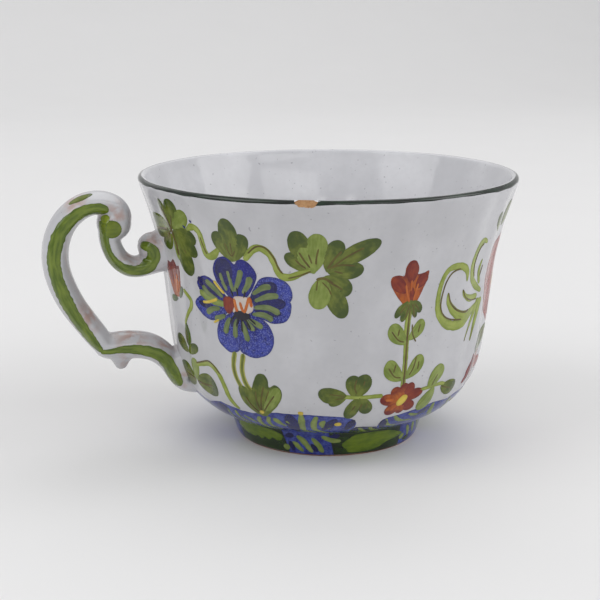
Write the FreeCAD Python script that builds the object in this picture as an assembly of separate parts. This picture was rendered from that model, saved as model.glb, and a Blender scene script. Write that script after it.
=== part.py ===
import FreeCAD, Part
import math
import os

# A fluted teacup with a scroll handle, in tin-glazed earthenware.
# Millimetres, +Z up. The origin is the centre of the foot's bearing plane, and the handle points along -X.

# Driving dimensions.
RIM_DIAMETER = 95.0
HEIGHT = 67.2
GLAZE = 0.3
FLUTES = 27
FLUTE_DEPTH = 0.35
FOOT_TOP_RADIUS = 25.5
FOOT_LOW_RADIUS = 23.4
FOOT_INNER_RADIUS = 20.4
FOOT_HEIGHT = 7.0
BARE_EDGE = 0.4
HANDLE_WIDTH = 10.0

# The glazed outside of the bowl as (height, radius), from the waist above the foot to the rim.
OUTSIDE = [
    (7.0, 25.6), (7.9, 28.6), (10.0, 31.8), (12.8, 34.7), (16.2, 37.0), (20.5, 38.6), (27.0, 39.8),
    (37.0, 40.9), (47.5, 42.1), (56.0, 44.1), (62.0, 46.0), (66.0, 47.45), (68.0, 48.0),
]
LOFT_HEIGHTS = [7.6, 8.4, 10.0, 12.8, 17.0, 23.0, 33.0, 45.0, 56.0, 63.5, 66.5, 68.0]

# The rounded lip, and the glazed inside from the middle of the floor up to it, as (radius, height).
LIP_INNER = (45.5, 66.2)
LIP_TOP = (46.5, HEIGHT)
LIP_OUTER = (47.9, 65.6)
FLOOR_HEIGHT = 11.6
INSIDE = [
    (0.0, FLOOR_HEIGHT), (12.0, 11.8), (22.0, 12.9), (30.0, 16.6), (34.6, 22.0), (36.8, 30.0),
    (38.4, 42.0), (40.2, 52.0), (42.6, 59.5), LIP_INNER,
]

# Where the flutes fade out, towards the foot and towards the rim.
FLUTES_START = 11.0
FLUTES_FULL = 17.0
FLUTES_FADE = 63.5
FLUTES_END = 66.5
POINTS_PER_FLUTE = 4

# A small old chip in the rim, as the distance and height of the ball that bites it out.
CHIP_ANGLE = -110.7
CHIP_RADIUS = 4.2
CHIP_CENTRE = (49.4, 69.2)

# The handle's centreline as (distance from the cup's axis, height, thickness, width).
MAIN_SCROLL = [
    (53.4, 55.4, 3.4, 9.6), (51.9, 57.4, 4.6, 9.8), (52.9, 59.8, 5.2, 10), (55.4, 61.2, 5.6, 10),
    (58.5, 61.5, 5.8, 10), (61.8, 60.5, 6.0, 10), (64.7, 58.3, 6.2, 10), (66.8, 55.3, 6.4, 10),
    (68.1, 51.4, 6.6, 10), (68.3, 47.2, 6.6, 10), (67.6, 43.4, 6.6, 10), (66.1, 39.4, 6.6, 10),
    (64.1, 35.6, 6.4, 10), (61.5, 31.8, 6.2, 10), (58.9, 28.2, 6.0, 10), (57.0, 25.4, 5.4, 9.8),
]
SMALL_SCROLL = [
    (55.7, 56.6, 3.8, 9.6), (55.4, 53.6, 4.8, 9.8), (54.6, 50.5, 5.2, 9.8), (53.1, 47.6, 5.2, 9.8),
    (50.9, 45.8, 5.2, 9.8), (48.4, 45.3, 5.2, 9.8), (45.4, 45.9, 5.2, 9.8), (40.2, 47.8, 5.8, 9.8),
]
LOWER_ARM = [
    (58.8, 25.8, 4.8, 9.8), (56.4, 25.5, 6.2, 10), (52.6, 25.6, 6.8, 10), (48.8, 25.4, 6.8, 10),
    (45.6, 24.6, 6.6, 10), (43.0, 22.9, 6.2, 10), (40.9, 20.4, 5.6, 10), (39.2, 17.4, 5.0, 10),
    (37.2, 15.2, 4.6, 10), (33.4, 14.0, 4.0, 10),
]
UPPER_EYE = (53.9, 56.3, 4.1)
WALL_EYE = (44.7, 50.0, 3.5)
SPUR = (53.3, 19.4, 1.1)
SPUR_ROOT = (24.0, 3.2)

# The slip that lutes each root of the handle to the wall, as the same kind of points.
UPPER_SLIP = [(38.8, 49.3, 13.8, 14.0), (42.6, 49.2, 11.6, 12.2), (44.8, 49.1, 9.4, 10.2)]
LOWER_SLIP = [(34.2, 19.9, 13.6, 14.2), (38.0, 20.4, 11.8, 12.2), (40.2, 20.8, 8.4, 10.2)]


def smooth(points, x):
    """The height of a smooth curve through points, at x."""
    last = len(points) - 1
    k = 0
    while k < last - 1 and x > points[k + 1][0]:
        k += 1

    def slope(i):
        low, high = max(i - 1, 0), min(i + 1, last)
        return (points[high][1] - points[low][1]) / (points[high][0] - points[low][0])

    (x0, y0), (x1, y1) = points[k], points[k + 1]
    width = x1 - x0
    t = (x - x0) / width
    return (
        (2 * t**3 - 3 * t**2 + 1) * y0
        + (t**3 - 2 * t**2 + t) * width * slope(k)
        + (3 * t**2 - 2 * t**3) * y1
        + (t**3 - t**2) * width * slope(k + 1)
    )


def ease(x, start, end):
    """0 before start, 1 after end, and smooth between them."""
    t = min(max((x - start) / (end - start), 0.0), 1.0)
    return t * t * (3 - 2 * t)


def wall_radius(angle, height, skin):
    """The outside of the bowl, skin millimetres under the glaze."""
    fade = ease(height, FLUTES_START, FLUTES_FULL) * (1 - ease(height, FLUTES_FADE, FLUTES_END))
    ripple = FLUTE_DEPTH / 2 * math.cos(FLUTES * angle)
    sideways = ease(height, FOOT_HEIGHT, FLUTES_START)
    return smooth(OUTSIDE, height - skin * (1 - sideways)) - skin * sideways + fade * ripple


def fluted_solid(skin):
    """The bowl as if it were solid, from the waist to above the rim."""
    wires = []
    count = FLUTES * POINTS_PER_FLUTE
    for height in [FOOT_HEIGHT + skin] + LOFT_HEIGHTS:
        ring = []
        for k in range(count):
            angle = 2 * math.pi * k / count
            radius = wall_radius(angle, height, skin)
            ring.append(FreeCAD.Vector(radius * math.cos(angle), radius * math.sin(angle), height))
        curve = Part.BSplineCurve()
        curve.interpolate(ring, PeriodicFlag=True)
        wires.append(Part.Wire([curve.toShape()]))
    return Part.makeLoft(wires, True, False)


def spun(wire):
    """A wire in the XZ plane, closed and turned about Z into a solid."""
    return Part.Face(wire).revolve(FreeCAD.Vector(), FreeCAD.Vector(0, 0, 1), 360)


def hollow(skin):
    """What is not clay or glaze inside the wall and above the lip."""
    top = HEIGHT + 10
    far = RIM_DIAMETER
    inside = Part.BSplineCurve()
    wall = [FreeCAD.Vector(radius + (skin if radius else 0), 0, height) for radius, height in INSIDE]
    for point, (radius, height) in zip(wall, INSIDE):
        point.z -= skin * (1 - ease(radius, 12, 40))
    inside.interpolate(wall)
    over_lip = Part.Arc(
        wall[-1],
        FreeCAD.Vector(LIP_TOP[0], 0, LIP_TOP[1] - skin),
        FreeCAD.Vector(LIP_OUTER[0] - skin, 0, LIP_OUTER[1]),
    )
    corners = [
        FreeCAD.Vector(LIP_OUTER[0] - skin, 0, LIP_OUTER[1]),
        FreeCAD.Vector(far, 0, LIP_OUTER[1]),
        FreeCAD.Vector(far, 0, top),
        FreeCAD.Vector(0, 0, top),
        wall[0],
    ]
    edges = [inside.toShape(), over_lip.toShape()]
    for start, end in zip(corners, corners[1:]):
        edges.append(Part.LineSegment(start, end).toShape())
    return spun(Part.Wire(edges))


def turned(points):
    """Corners in the XZ plane as (radius, height), closed with straight lines and turned into a solid."""
    corners = [FreeCAD.Vector(radius, 0, height) for radius, height in points]
    return spun(Part.makePolygon(corners + corners[:1]))


def section(point, along, thickness, width):
    """An eight-sided section of the handle: narrow on its two side faces, thickest between them."""
    across = FreeCAD.Vector(-along.z, 0, along.x)
    side = FreeCAD.Vector(0, 1, 0)
    corners = []
    for u, v in ((0.22, 0.5), (0.5, 0.13), (0.5, -0.13), (0.22, -0.5)):
        corners.append(point + across * (u * thickness) + side * (v * width))
    for u, v in ((-0.22, -0.5), (-0.5, -0.13), (-0.5, 0.13), (-0.22, 0.5)):
        corners.append(point + across * (u * thickness) + side * (v * width))
    return Part.makePolygon(corners + corners[:1])


def strap(path, skin):
    """A solid swept along (distance, height, thickness, width) points, skin millimetres under the glaze."""
    points = [FreeCAD.Vector(-distance, 0, height) for distance, height, thickness, width in path]
    wires = []
    for k, point in enumerate(points):
        along = points[min(k + 1, len(points) - 1)] - points[max(k - 1, 0)]
        along.normalize()
        thickness, width = path[k][2:]
        wires.append(section(point, along, thickness - 2 * skin, width - 2 * skin))
    return Part.makeLoft(wires, True, False)


def eye(spot, width, skin):
    """The round boss at the middle of a scroll: a drum that narrows towards both side faces."""
    distance, height, radius = spot
    radius -= skin
    half = width / 2 - skin
    belt = half * 0.26
    side_radius = radius * 0.55
    profile = [(0, -half), (side_radius, -half), (radius, -belt), (radius, belt), (side_radius, half), (0, half)]
    boss = turned(profile)
    boss.rotate(FreeCAD.Vector(), FreeCAD.Vector(1, 0, 0), 90)
    boss.translate(FreeCAD.Vector(-distance, 0, height))
    return boss


def spur(skin):
    """The small pointed drip under the corner of the handle."""
    distance, tip, radius = SPUR
    root, root_radius = SPUR_ROOT
    tip_radius = radius - skin
    cone = Part.makeCone(tip_radius, root_radius - skin, root - tip - radius)
    cone.translate(FreeCAD.Vector(-distance, 0, tip + radius))
    bead = Part.makeSphere(tip_radius + 0.05)
    bead.translate(FreeCAD.Vector(-distance, 0, tip + radius))
    return cone.fuse(bead)


def handle_form(skin):
    """The whole handle, with its ends run on into the cup's wall."""
    pieces = [
        strap(SMALL_SCROLL, skin),
        strap(LOWER_ARM, skin),
        eye(UPPER_EYE, HANDLE_WIDTH, skin),
        eye(WALL_EYE, HANDLE_WIDTH, skin),
        spur(skin),
    ]
    return strap(MAIN_SCROLL, skin).fuse(pieces)


def foot_ring():
    """The turned ring that the bowl stands on, with its edges rounded where it is bare."""
    outer = FOOT_LOW_RADIUS - GLAZE
    inner = FOOT_INNER_RADIUS + GLAZE
    top = FOOT_HEIGHT + GLAZE
    return turned([
        (inner, top), (inner, 1.0), (inner + 0.4, 0.25), (inner + 0.8, 0), (outer - 0.7, 0),
        (outer - 0.2, 0.2), (outer, 0.7), (FOOT_TOP_RADIUS - GLAZE, top),
    ])


def base_glaze():
    """The glaze inside the foot: under the bowl and down the ring's inner face."""
    inner = FOOT_INNER_RADIUS
    top = FOOT_HEIGHT + GLAZE
    return turned([
        (0, top), (inner + GLAZE, top), (inner + GLAZE, 1.4), (inner, 1.8), (inner, FOOT_HEIGHT), (0, FOOT_HEIGHT),
    ])


def chip():
    """The bite that is missing from the rim."""
    distance, height = CHIP_CENTRE
    ball = Part.makeSphere(CHIP_RADIUS)
    ball.translate(FreeCAD.Vector(distance, 0, height))
    ball.rotate(FreeCAD.Vector(), FreeCAD.Vector(0, 0, 1), CHIP_ANGLE)
    return ball


def inside_zone():
    """Everything nearer the axis than the middle of the wall, where the glaze counts as the inside glaze."""
    points = [(0, HEIGHT + 5), (0, FLOOR_HEIGHT - 1.5)]
    points += [(radius + 1, height - 1) for radius, height in INSIDE[2:-1]]
    points += [(LIP_TOP[0], LIP_INNER[1]), (LIP_TOP[0], HEIGHT + 5)]
    return turned(points)


def foot_coat_form():
    """The foot's outer face, glaze and all, above the bare edge."""
    outer = FOOT_LOW_RADIUS
    inside = (FOOT_INNER_RADIUS + FOOT_LOW_RADIUS) / 2
    return turned([
        (inside, FOOT_HEIGHT + 1), (inside, BARE_EDGE), (outer - 0.2, BARE_EDGE), (outer, 0.8),
        (FOOT_TOP_RADIUS, FOOT_HEIGHT), (FOOT_TOP_RADIUS, FOOT_HEIGHT + 1),
    ])


def largest(shape):
    """The biggest solid of a shape, without the slivers that a cut can leave."""
    return max(shape.Solids, key=lambda solid: solid.Volume)


def cup():
    """Every sub-part by name."""
    bite = chip()
    lining = inside_zone()
    clay_form = fluted_solid(GLAZE)
    bowl = clay_form.cut([hollow(GLAZE), bite])
    foot = foot_ring()
    handle = largest(handle_form(GLAZE).cut(clay_form))
    upper_slip = largest(strap(UPPER_SLIP, GLAZE).cut([clay_form, handle]))
    lower_slip = largest(strap(LOWER_SLIP, GLAZE).cut([clay_form, handle]))

    glazed_form = fluted_solid(0)
    base = base_glaze()
    inside_glaze = largest(hollow(GLAZE).common(lining).cut([hollow(0), bite]))
    glazed_roots = [handle_form(0), strap(UPPER_SLIP, 0), strap(LOWER_SLIP, 0)]
    glazed = glazed_form.fuse([foot_coat_form()] + [form.cut(lining) for form in glazed_roots])
    outside_glaze = glazed.cut([clay_form, hollow(0), lining, bite, foot, base, handle, upper_slip, lower_slip])
    return {
        "bowl": bowl,
        "foot_ring": foot,
        "handle": handle,
        "upper_slip_joint": upper_slip,
        "lower_slip_joint": lower_slip,
        "inside_glaze": inside_glaze,
        "outside_glaze": outside_glaze,
        "base_glaze": base,
    }


os.makedirs("parts", exist_ok=True)
for name, shape in cup().items():
    solids = [round(solid.Volume, 2) for solid in shape.Solids]
    print(name, shape.isValid(), solids)
    shape.exportStep(f"parts/{name}.step")
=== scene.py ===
import bisect
import math

import bpy
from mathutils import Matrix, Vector, geometry, noise
from mathutils.bvhtree import BVHTree


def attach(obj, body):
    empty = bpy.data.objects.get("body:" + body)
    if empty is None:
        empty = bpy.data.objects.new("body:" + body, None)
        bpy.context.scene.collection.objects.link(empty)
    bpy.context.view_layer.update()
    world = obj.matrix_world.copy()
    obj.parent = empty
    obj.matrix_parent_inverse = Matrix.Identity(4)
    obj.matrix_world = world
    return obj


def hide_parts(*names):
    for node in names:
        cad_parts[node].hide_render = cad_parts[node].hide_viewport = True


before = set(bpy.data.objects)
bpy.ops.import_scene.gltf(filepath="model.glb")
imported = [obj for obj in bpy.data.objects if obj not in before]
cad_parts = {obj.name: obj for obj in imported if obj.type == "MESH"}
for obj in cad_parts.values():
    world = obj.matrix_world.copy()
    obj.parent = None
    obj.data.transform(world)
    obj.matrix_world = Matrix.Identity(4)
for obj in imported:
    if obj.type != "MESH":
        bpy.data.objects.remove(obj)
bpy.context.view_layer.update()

# Lengths below are in millimetres and angles in degrees, unless a comment says otherwise.
# new_object() turns points into metres.
# A paint angle is counted round the cup from its painted front, to the right as seen from outside.
# The cup's axis is Z, and its handle points along -X.
MM = 0.001
FRONT = -105.0
WALL_RADIUS = 42.0
RIM_RADIUS = 47.0
FOOT_RADIUS = 24.5
MM_PER_DEGREE = WALL_RADIUS * math.pi / 180

# ---------------------------------------------------------------- the clay's surface

# The glazed outside as (radius, height), from the foot's bare edge to the crown of the lip.
OUTSIDE = [
    (23.2, 0.4), (23.4, 0.8), (23.65, 1.5), (24.0, 2.6), (24.85, 5.2), (25.3, 6.4), (26.1, 7.2),
    (28.6, 8.0), (31.8, 10.0), (34.7, 12.8), (37.0, 16.2), (38.6, 20.5), (39.8, 27.0), (40.9, 37.0),
    (42.1, 47.5), (44.1, 56.0), (46.0, 62.0), (47.15, 65.2), (47.42, 66.2), (47.15, 66.9), (46.5, 67.2),
]
# The inside, from the crown of the lip to the middle of the floor.
INSIDE = [
    (46.5, 67.2), (45.85, 66.95), (45.45, 66.2), (44.8, 64.6), (42.6, 59.5), (40.2, 52.0), (38.4, 42.0),
    (36.8, 30.0), (34.6, 22.0), (30.0, 16.6), (22.0, 12.9), (12.0, 11.8), (0.0, 11.6),
]
# Under the bowl, from the middle out to the foot's inner face, and back to the bare edge.
UNDERSIDE = [(0.0, 7.0), (17.6, 7.0), (19.8, 6.6), (20.4, 5.6), (20.4, 2.0), (20.9, 1.3), (22.7, 0.9)]
# The bare clay ring that the cup stands on, as a closed section.
BARE_RING = [
    (23.0, 1.0), (23.1, 0.45), (22.85, 0.1), (22.4, 0.0), (21.7, 0.0), (21.2, 0.2), (20.8, 0.8),
    (21.0, 1.5),
]

FLUTES = 27
FLUTE_DEPTH = 0.42
# How many points each ring of the bowl and the foot has, 18 to a flute.
COLUMNS = 486

# The ball that bites the chip: its paint angle, the height that it is measured from, how far out and up
# from the wall there its middle is, and its radii outward, sideways and upward.
CHIP_ANGLE = -5.75
CHIP_HEIGHT = 66.4
CHIP_OUT = 1.3
CHIP_UP = 1.25
CHIP_RADII = (2.35, 3.9, 2.65)


def catmull(p0, p1, p2, p3, t):
    """A point between p1 and p2 on a smooth curve, for tuples of any length."""
    return tuple(
        0.5 * (2 * b + (c - a) * t + (2 * a - 5 * b + 4 * c - d) * t**2 + (3 * b - a - 3 * c + d) * t**3)
        for a, b, c, d in zip(p0, p1, p2, p3)
    )


def curve(points, step, closed=False):
    """Points about step apart on a smooth curve through the given ones."""
    n = len(points)
    out = []
    for k in range(n if closed else n - 1):
        if closed:
            around = [points[(k + j) % n] for j in (-1, 0, 1, 2)]
        else:
            around = [points[min(max(k + j, 0), n - 1)] for j in (-1, 0, 1, 2)]
        length = math.dist(around[1][:2], around[2][:2])
        count = max(1, round(length / step))
        out += [catmull(*around, j / count) for j in range(count)]
    if not closed:
        out.append(tuple(points[-1]))
    return out


def ease(x, start, end):
    """0 before start, 1 after end, and smooth between them."""
    t = min(max((x - start) / (end - start), 0.0), 1.0)
    return t * t * (3 - 2 * t)


OUTLINE = curve(OUTSIDE, 0.12)
HEIGHTS = [height for radius, height in OUTLINE]
RISES = [0.0]
for before, after in zip(OUTLINE, OUTLINE[1:]):
    RISES.append(RISES[-1] + math.dist(before, after))


def rise_at(height):
    """The distance along the outline from the foot's bare edge up to a height."""
    k = min(max(bisect.bisect_left(HEIGHTS, height), 1), len(HEIGHTS) - 1)
    share = (height - HEIGHTS[k - 1]) / (HEIGHTS[k] - HEIGHTS[k - 1])
    return RISES[k - 1] + share * (RISES[k] - RISES[k - 1])


def ripple(angle, height):
    """How far the flutes and the unevenness of handwork move the wall, at an angle in radians.

    The flutes fade out towards the foot and the rim.
    """
    fade = ease(height, 11, 18) * (1 - ease(height, 63.5, 66.8))
    where = Vector((math.cos(angle), math.sin(angle), height / 60))
    uneven = 0.8 + 0.5 * noise.noise(where * 3.1)
    return fade * FLUTE_DEPTH / 2 * uneven * math.cos(FLUTES * angle) + 0.1 * noise.noise(where * 1.7)


def on_wall(angle, rise, lift=0.0):
    """A point lift off the cup's outside, at a paint angle in degrees and a distance along the outline."""
    k = min(max(bisect.bisect_left(RISES, rise), 1), len(RISES) - 1)
    (r0, z0), (r1, z1) = OUTLINE[k - 1], OUTLINE[k]
    share = (rise - RISES[k - 1]) / (RISES[k] - RISES[k - 1])
    height = z0 + share * (z1 - z0)
    out = Vector((z1 - z0, r0 - r1)).normalized() * lift
    turn = math.radians(angle + FRONT)
    radius = r0 + share * (r1 - r0) + ripple(turn, height) + out.x
    return Vector((radius * math.cos(turn), radius * math.sin(turn), height + out.y))


# ---------------------------------------------------------------- mesh helpers


def new_object(name, verts, faces, finishes, slots=None):
    """A mesh object from points in millimetres."""
    mesh = bpy.data.meshes.new(name)
    mesh.from_pydata([Vector(v) * MM for v in verts], [], faces)
    for finish in finishes:
        mesh.materials.append(finish)
    if slots:
        mesh.polygons.foreach_set("material_index", slots)
    mesh.polygons.foreach_set("use_smooth", [True] * len(mesh.polygons))
    mesh.update()
    made = bpy.data.objects.new(name, mesh)
    bpy.context.collection.objects.link(made)
    return made


def apply_modifiers(made):
    """Puts an object's modifiers into its mesh."""
    held = bpy.context.evaluated_depsgraph_get()
    mesh = bpy.data.meshes.new_from_object(made.evaluated_get(held), depsgraph=held)
    made.modifiers.clear()
    made.data = mesh


def tube(rings):
    """Points and faces of a closed tube through rings that all have as many points."""
    columns = len(rings[0])
    verts = [point for ring in rings for point in ring]
    faces = []
    for i in range(len(rings) - 1):
        for j in range(columns):
            k = (j + 1) % columns
            faces.append((i * columns + j, i * columns + k, (i + 1) * columns + k, (i + 1) * columns + j))
    faces.append(tuple(reversed(range(columns))))
    faces.append(tuple(range(len(verts) - columns, len(verts))))
    return verts, faces


def circle(radius, count):
    """The X and Y of count points round a circle."""
    turns = [2 * math.pi * j / count for j in range(count)]
    return [(radius * math.cos(turn), radius * math.sin(turn)) for turn in turns]


# ---------------------------------------------------------------- materials


def tone(red, green, blue):
    """A surface colour that looks like this one, 0 to 255, in this studio.

    studio is how much of the light a white wall sends back, and gloss is what its shine adds.
    """
    studio = 0.76
    gloss = 0.025
    linear = [((c / 255 + 0.055) / 1.055) ** 2.4 for c in (red, green, blue)]
    return tuple(min(0.92, max(0.004, (c - gloss) / studio)) for c in linear) + (1.0,)


class Finish:
    """A material that is built a node at a time."""

    def __init__(self, name, roughness):
        self.material = bpy.data.materials.new(name)
        self.material.use_nodes = True
        self.tree = self.material.node_tree
        self.shader = self.tree.nodes["Principled BSDF"]
        self.shader.inputs["Roughness"].default_value = roughness
        self.shader.inputs["IOR"].default_value = 1.5

    def put(self, socket, value):
        """Sets a socket, or links it if the value is another node's output."""
        if isinstance(value, bpy.types.NodeSocket):
            self.tree.links.new(value, socket)
        else:
            socket.default_value = value

    def node(self, kind, inputs, **settings):
        """A new node, with its inputs set or linked."""
        made = self.tree.nodes.new(kind)
        for key, value in settings.items():
            setattr(made, key, value)
        for key, value in inputs.items():
            self.put(made.inputs[key], value)
        return made

    def vector(self, operation, a, b, output="Vector"):
        return self.node("ShaderNodeVectorMath", {0: a, 1: b}, operation=operation).outputs[output]

    def place(self, scale=(1, 1, 1)):
        """Object coordinates in millimetres, stretched."""
        spot = self.node("ShaderNodeTexCoord", {}).outputs["Object"]
        return self.vector("MULTIPLY", spot, tuple(1000 * s for s in scale))

    def attribute(self, name, output="Fac"):
        return self.node("ShaderNodeAttribute", {}, attribute_name=name).outputs[output]

    def noise(self, spot, size, detail=2.0):
        """Smooth noise with lumps about size millimetres across."""
        settings = {"Vector": spot, "Scale": 1 / size, "Detail": detail}
        return self.node("ShaderNodeTexNoise", settings).outputs["Fac"]

    def spread(self, value, low, high, to_low=0.0, to_high=1.0):
        """A value from low to high, turned smoothly into one from to_low to to_high."""
        ends = {"Value": value, "From Min": low, "From Max": high, "To Min": to_low, "To Max": to_high}
        return self.node("ShaderNodeMapRange", ends, interpolation_type="SMOOTHSTEP").outputs["Result"]

    def maths(self, operation, a, b):
        return self.node("ShaderNodeMath", {0: a, 1: b}, operation=operation).outputs[0]

    def mix(self, factor, a, b):
        """Colour a, turning to b as factor goes from 0 to 1."""
        made = self.node("ShaderNodeMix", {}, data_type="RGBA")
        for socket, value in zip((made.inputs[0], made.inputs[6], made.inputs[7]), (factor, a, b)):
            self.put(socket, value)
        return made.outputs[2]

    def colour(self, value):
        self.put(self.shader.inputs["Base Color"], value)

    def rough(self, value):
        self.put(self.shader.inputs["Roughness"], value)

    def bump(self, height, strength, distance):
        settings = {"Height": height, "Strength": strength, "Distance": distance * MM}
        self.put(self.shader.inputs["Normal"], self.node("ShaderNodeBump", settings).outputs[0])


def tin_glaze(name, thin_spots=(), painted_light_levels=0):
    """White tin glaze, glossy, faintly clouded, with pinholes and specks.

    thin_spots are (x, z, radius) where it ran thin and the clay shows through, pinkish. The last argument
    is how many levels whiter the whole glaze is painted: painted light, for the inside of the bowl, which
    catches more light than the outside.
    """

    def white(level):
        return tone(level + painted_light_levels, level + painted_light_levels, level + painted_light_levels + 3)

    finish = Finish(name, 0.1)
    spot = finish.place()
    cloud = finish.noise(spot, 14.0, 3.0)
    fine = finish.noise(spot, 1.6, 2.0)
    colour = finish.mix(finish.spread(cloud, 0.3, 0.7), white(168), white(178))
    colour = finish.mix(finish.spread(fine, 0.35, 0.75, 0.0, 0.25), colour, white(163))
    patchy = finish.noise(spot, 2.4, 3.0)
    for x, z, radius in thin_spots:
        flat = finish.vector("MULTIPLY", spot, (1, 0, 1))
        reach = finish.vector("DISTANCE", flat, (x, 0, z), "Value")
        near = finish.spread(reach, 0.0, radius, 0.85, 0.0)
        amount = finish.maths("MULTIPLY", near, finish.spread(patchy, 0.35, 0.62))
        colour = finish.mix(amount, colour, tone(158, 132, 124))
    speck = finish.noise(finish.place((1, 1, 0.9)), 0.62, 0.0)
    colour = finish.mix(finish.spread(speck, 0.81, 0.84, 0.0, 0.5), colour, tone(118, 114, 122))
    finish.colour(colour)
    finish.rough(finish.spread(cloud, 0.3, 0.7, 0.08, 0.14))
    swell = finish.noise(spot, 3.2, 2.0)
    finish.bump(swell, 0.25, 0.12)
    return finish.material


def bare_clay(name, colour_low, colour_high):
    """Fired clay with no glaze: matt, sandy, slightly stained."""
    finish = Finish(name, 0.85)
    spot = finish.place()
    stain = finish.noise(spot, 2.2, 4.0)
    sand = finish.noise(spot, 0.22, 2.0)
    colour = finish.mix(finish.spread(stain, 0.3, 0.7), colour_low, colour_high)
    finish.colour(finish.mix(finish.spread(sand, 0.55, 0.75, 0.0, 0.4), colour, tone(110, 75, 55)))
    finish.bump(sand, 0.6, 0.1)
    return finish.material


def brushed(name, thin, full, pooled, tip=None, streak=0.5, grain=0.0, pool=0.4):
    """Pigment laid on with a loaded brush. Its colours are what it looks like in this studio.

    It runs from thin to full in streaks along the stroke, is darker where it pooled at the edge, and can
    turn to another colour towards the stroke's tip. grain is how strongly lighter dots show in it.
    """
    thin, full, pooled = tone(*thin), tone(*full), tone(*pooled)
    finish = Finish(name, 0.1)
    flow = finish.attribute("flow", "Vector")
    edge = finish.attribute("edge")
    along = finish.vector("MULTIPLY", flow, (0.3, 1.6, 1.0))
    streaks = finish.noise(along, 1.0, 3.0)
    cloud = finish.noise(flow, 2.2, 3.0)
    load = finish.mix(streak, finish.spread(cloud, 0.28, 0.72), finish.spread(streaks, 0.3, 0.7))
    colour = finish.mix(load, thin, full)
    if tip:
        ends = finish.maths("ADD", finish.attribute("tip"), finish.spread(cloud, 0.25, 0.75, -0.25, 0.25))
        colour = finish.mix(finish.spread(ends, 0.35, 1.0, 0.0, 0.9), colour, tone(*tip))
    if grain:
        spot = finish.place()
        coarse = finish.noise(spot, 0.9, 2.0)
        colour = finish.mix(finish.spread(coarse, 0.45, 0.7, 0.0, 0.6), colour, pooled)
        dots = finish.noise(spot, 0.26, 1.0)
        colour = finish.mix(finish.spread(dots, 0.52, 0.66, 0.0, grain), colour, tone(106, 114, 170))
    wander = finish.spread(cloud, 0.3, 0.7, 0.35, 0.9)
    rim = finish.spread(edge, 0.0, wander, pool, 0.0)
    finish.colour(finish.mix(rim, colour, pooled))
    return finish.material


GLAZE = tin_glaze("tin_glaze")
# The inside's glaze is painted 14 levels whiter than the outside's: painted light, as the inside catches
# more light.
INSIDE_GLAZE = tin_glaze("tin_glaze_inside_painted_light", painted_light_levels=14)
HANDLE_GLAZE = tin_glaze("tin_glaze_thin", (
    (-54, 58.6, 5.5), (-50.5, 47.5, 4.5), (-63.6, 62, 4.5), (-61.6, 34, 6), (-51, 28, 6.5),
    (-43, 25, 5), (-45, 51.5, 4.5), (-52.6, 22, 3), (-38.5, 17.5, 4),
))
CHIP_CLAY = bare_clay("chipped_clay", tone(142, 106, 76), tone(170, 136, 102))
FOOT_CLAY = bare_clay("foot_clay", tone(122, 84, 68), tone(150, 106, 84))

LEAF = brushed("leaf_green", (106, 114, 58), (78, 88, 42), (68, 78, 36), tip=(64, 76, 36), pool=0.25)
LEAF_LIGHT = brushed("leaf_light_green", (128, 140, 78), (98, 112, 56), (82, 96, 48), pool=0.25)
TENDRIL = brushed("tendril_green", (140, 150, 80), (114, 126, 58), (92, 104, 48))
STEM_EDGE = brushed("stem_edge", (158, 156, 92), (140, 140, 72), (126, 126, 62))
STEM_HEART = brushed("stem_heart", (102, 112, 56), (86, 92, 46), (92, 96, 50))
SEPAL = brushed("sepal_green", (84, 98, 52), (64, 78, 40), (54, 66, 34))
VEIN = brushed("vein_brown", (104, 98, 54), (78, 66, 38), (76, 68, 38), streak=0.8)
COBALT = brushed(
    "cobalt", (46, 52, 120), (32, 34, 94), (26, 26, 74), tip=(62, 70, 142), grain=0.75, pool=0.5
)
NAVY = brushed("navy", (46, 50, 114), (36, 38, 98), (32, 32, 82), tip=(44, 48, 112), grain=0.2)
INDIGO = brushed("indigo", (38, 38, 92), (30, 30, 72), (28, 26, 64), grain=0.12)
NIGHT = brushed("night_blue", (34, 38, 58), (28, 32, 46), (26, 28, 40))
OLIVE_LIGHT = brushed("olive_light", (128, 140, 82), (104, 118, 64), (84, 98, 66), streak=0.6)
OLIVE = brushed("olive_stroke", (112, 122, 84), (84, 98, 64), (76, 88, 72), streak=0.7, pool=0.2)
RUST = brushed("rust", (160, 92, 46), (130, 66, 32), (102, 44, 24), tip=(96, 42, 24))
RUST_DEEP = brushed("rust_deep", (126, 62, 36), (98, 44, 26), (84, 36, 22))
ORANGE = brushed("orange_stroke", (182, 112, 62), (156, 84, 44), (136, 68, 36))
CREAM = brushed("bare_glaze_cream", (180, 172, 164), (172, 162, 156), (160, 136, 124), streak=0.3)
YELLOW = brushed("yellow", (196, 178, 84), (180, 158, 62), (150, 126, 60))
PINK = brushed("madder_pink", (144, 92, 88), (122, 62, 58), (110, 50, 48), tip=(142, 88, 84))
RUST_PINK = brushed("rust_pink", (118, 60, 62), (92, 36, 42), (82, 32, 38))
DARK_GREEN = brushed("dark_green", (58, 72, 38), (38, 50, 26), (30, 38, 22))
BRIGHT_GREEN = brushed("bright_green", (106, 122, 50), (80, 98, 34), (56, 72, 26))
HILL_BLUE = brushed(
    "hill_blue", (72, 84, 146), (40, 44, 104), (36, 38, 90), grain=0.35, streak=0.15, pool=0.3
)
RIM_PAINT = brushed("rim_green_black", (50, 60, 52), (34, 42, 37), (34, 42, 37), streak=0.9, pool=0.1)
HANDLE_EYE = brushed("handle_eye", (104, 116, 48), (86, 100, 36), (62, 76, 28))
HANDLE_BUD = brushed("handle_bud", (134, 146, 72), (118, 130, 58), (92, 104, 44))
HANDLE_GREEN = brushed("handle_green", (108, 122, 58), (78, 94, 34), (60, 74, 28), streak=0.85)

# ---------------------------------------------------------------- the bowl, its foot and the chip


def sway(turn, radius, height):
    """How far the unevenness of handwork moves a surface that has no flutes."""
    where = Vector((math.cos(turn), math.sin(turn), height / 60))
    return 0.1 * noise.noise(where * 1.7) * min(1.0, radius / 20)


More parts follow.
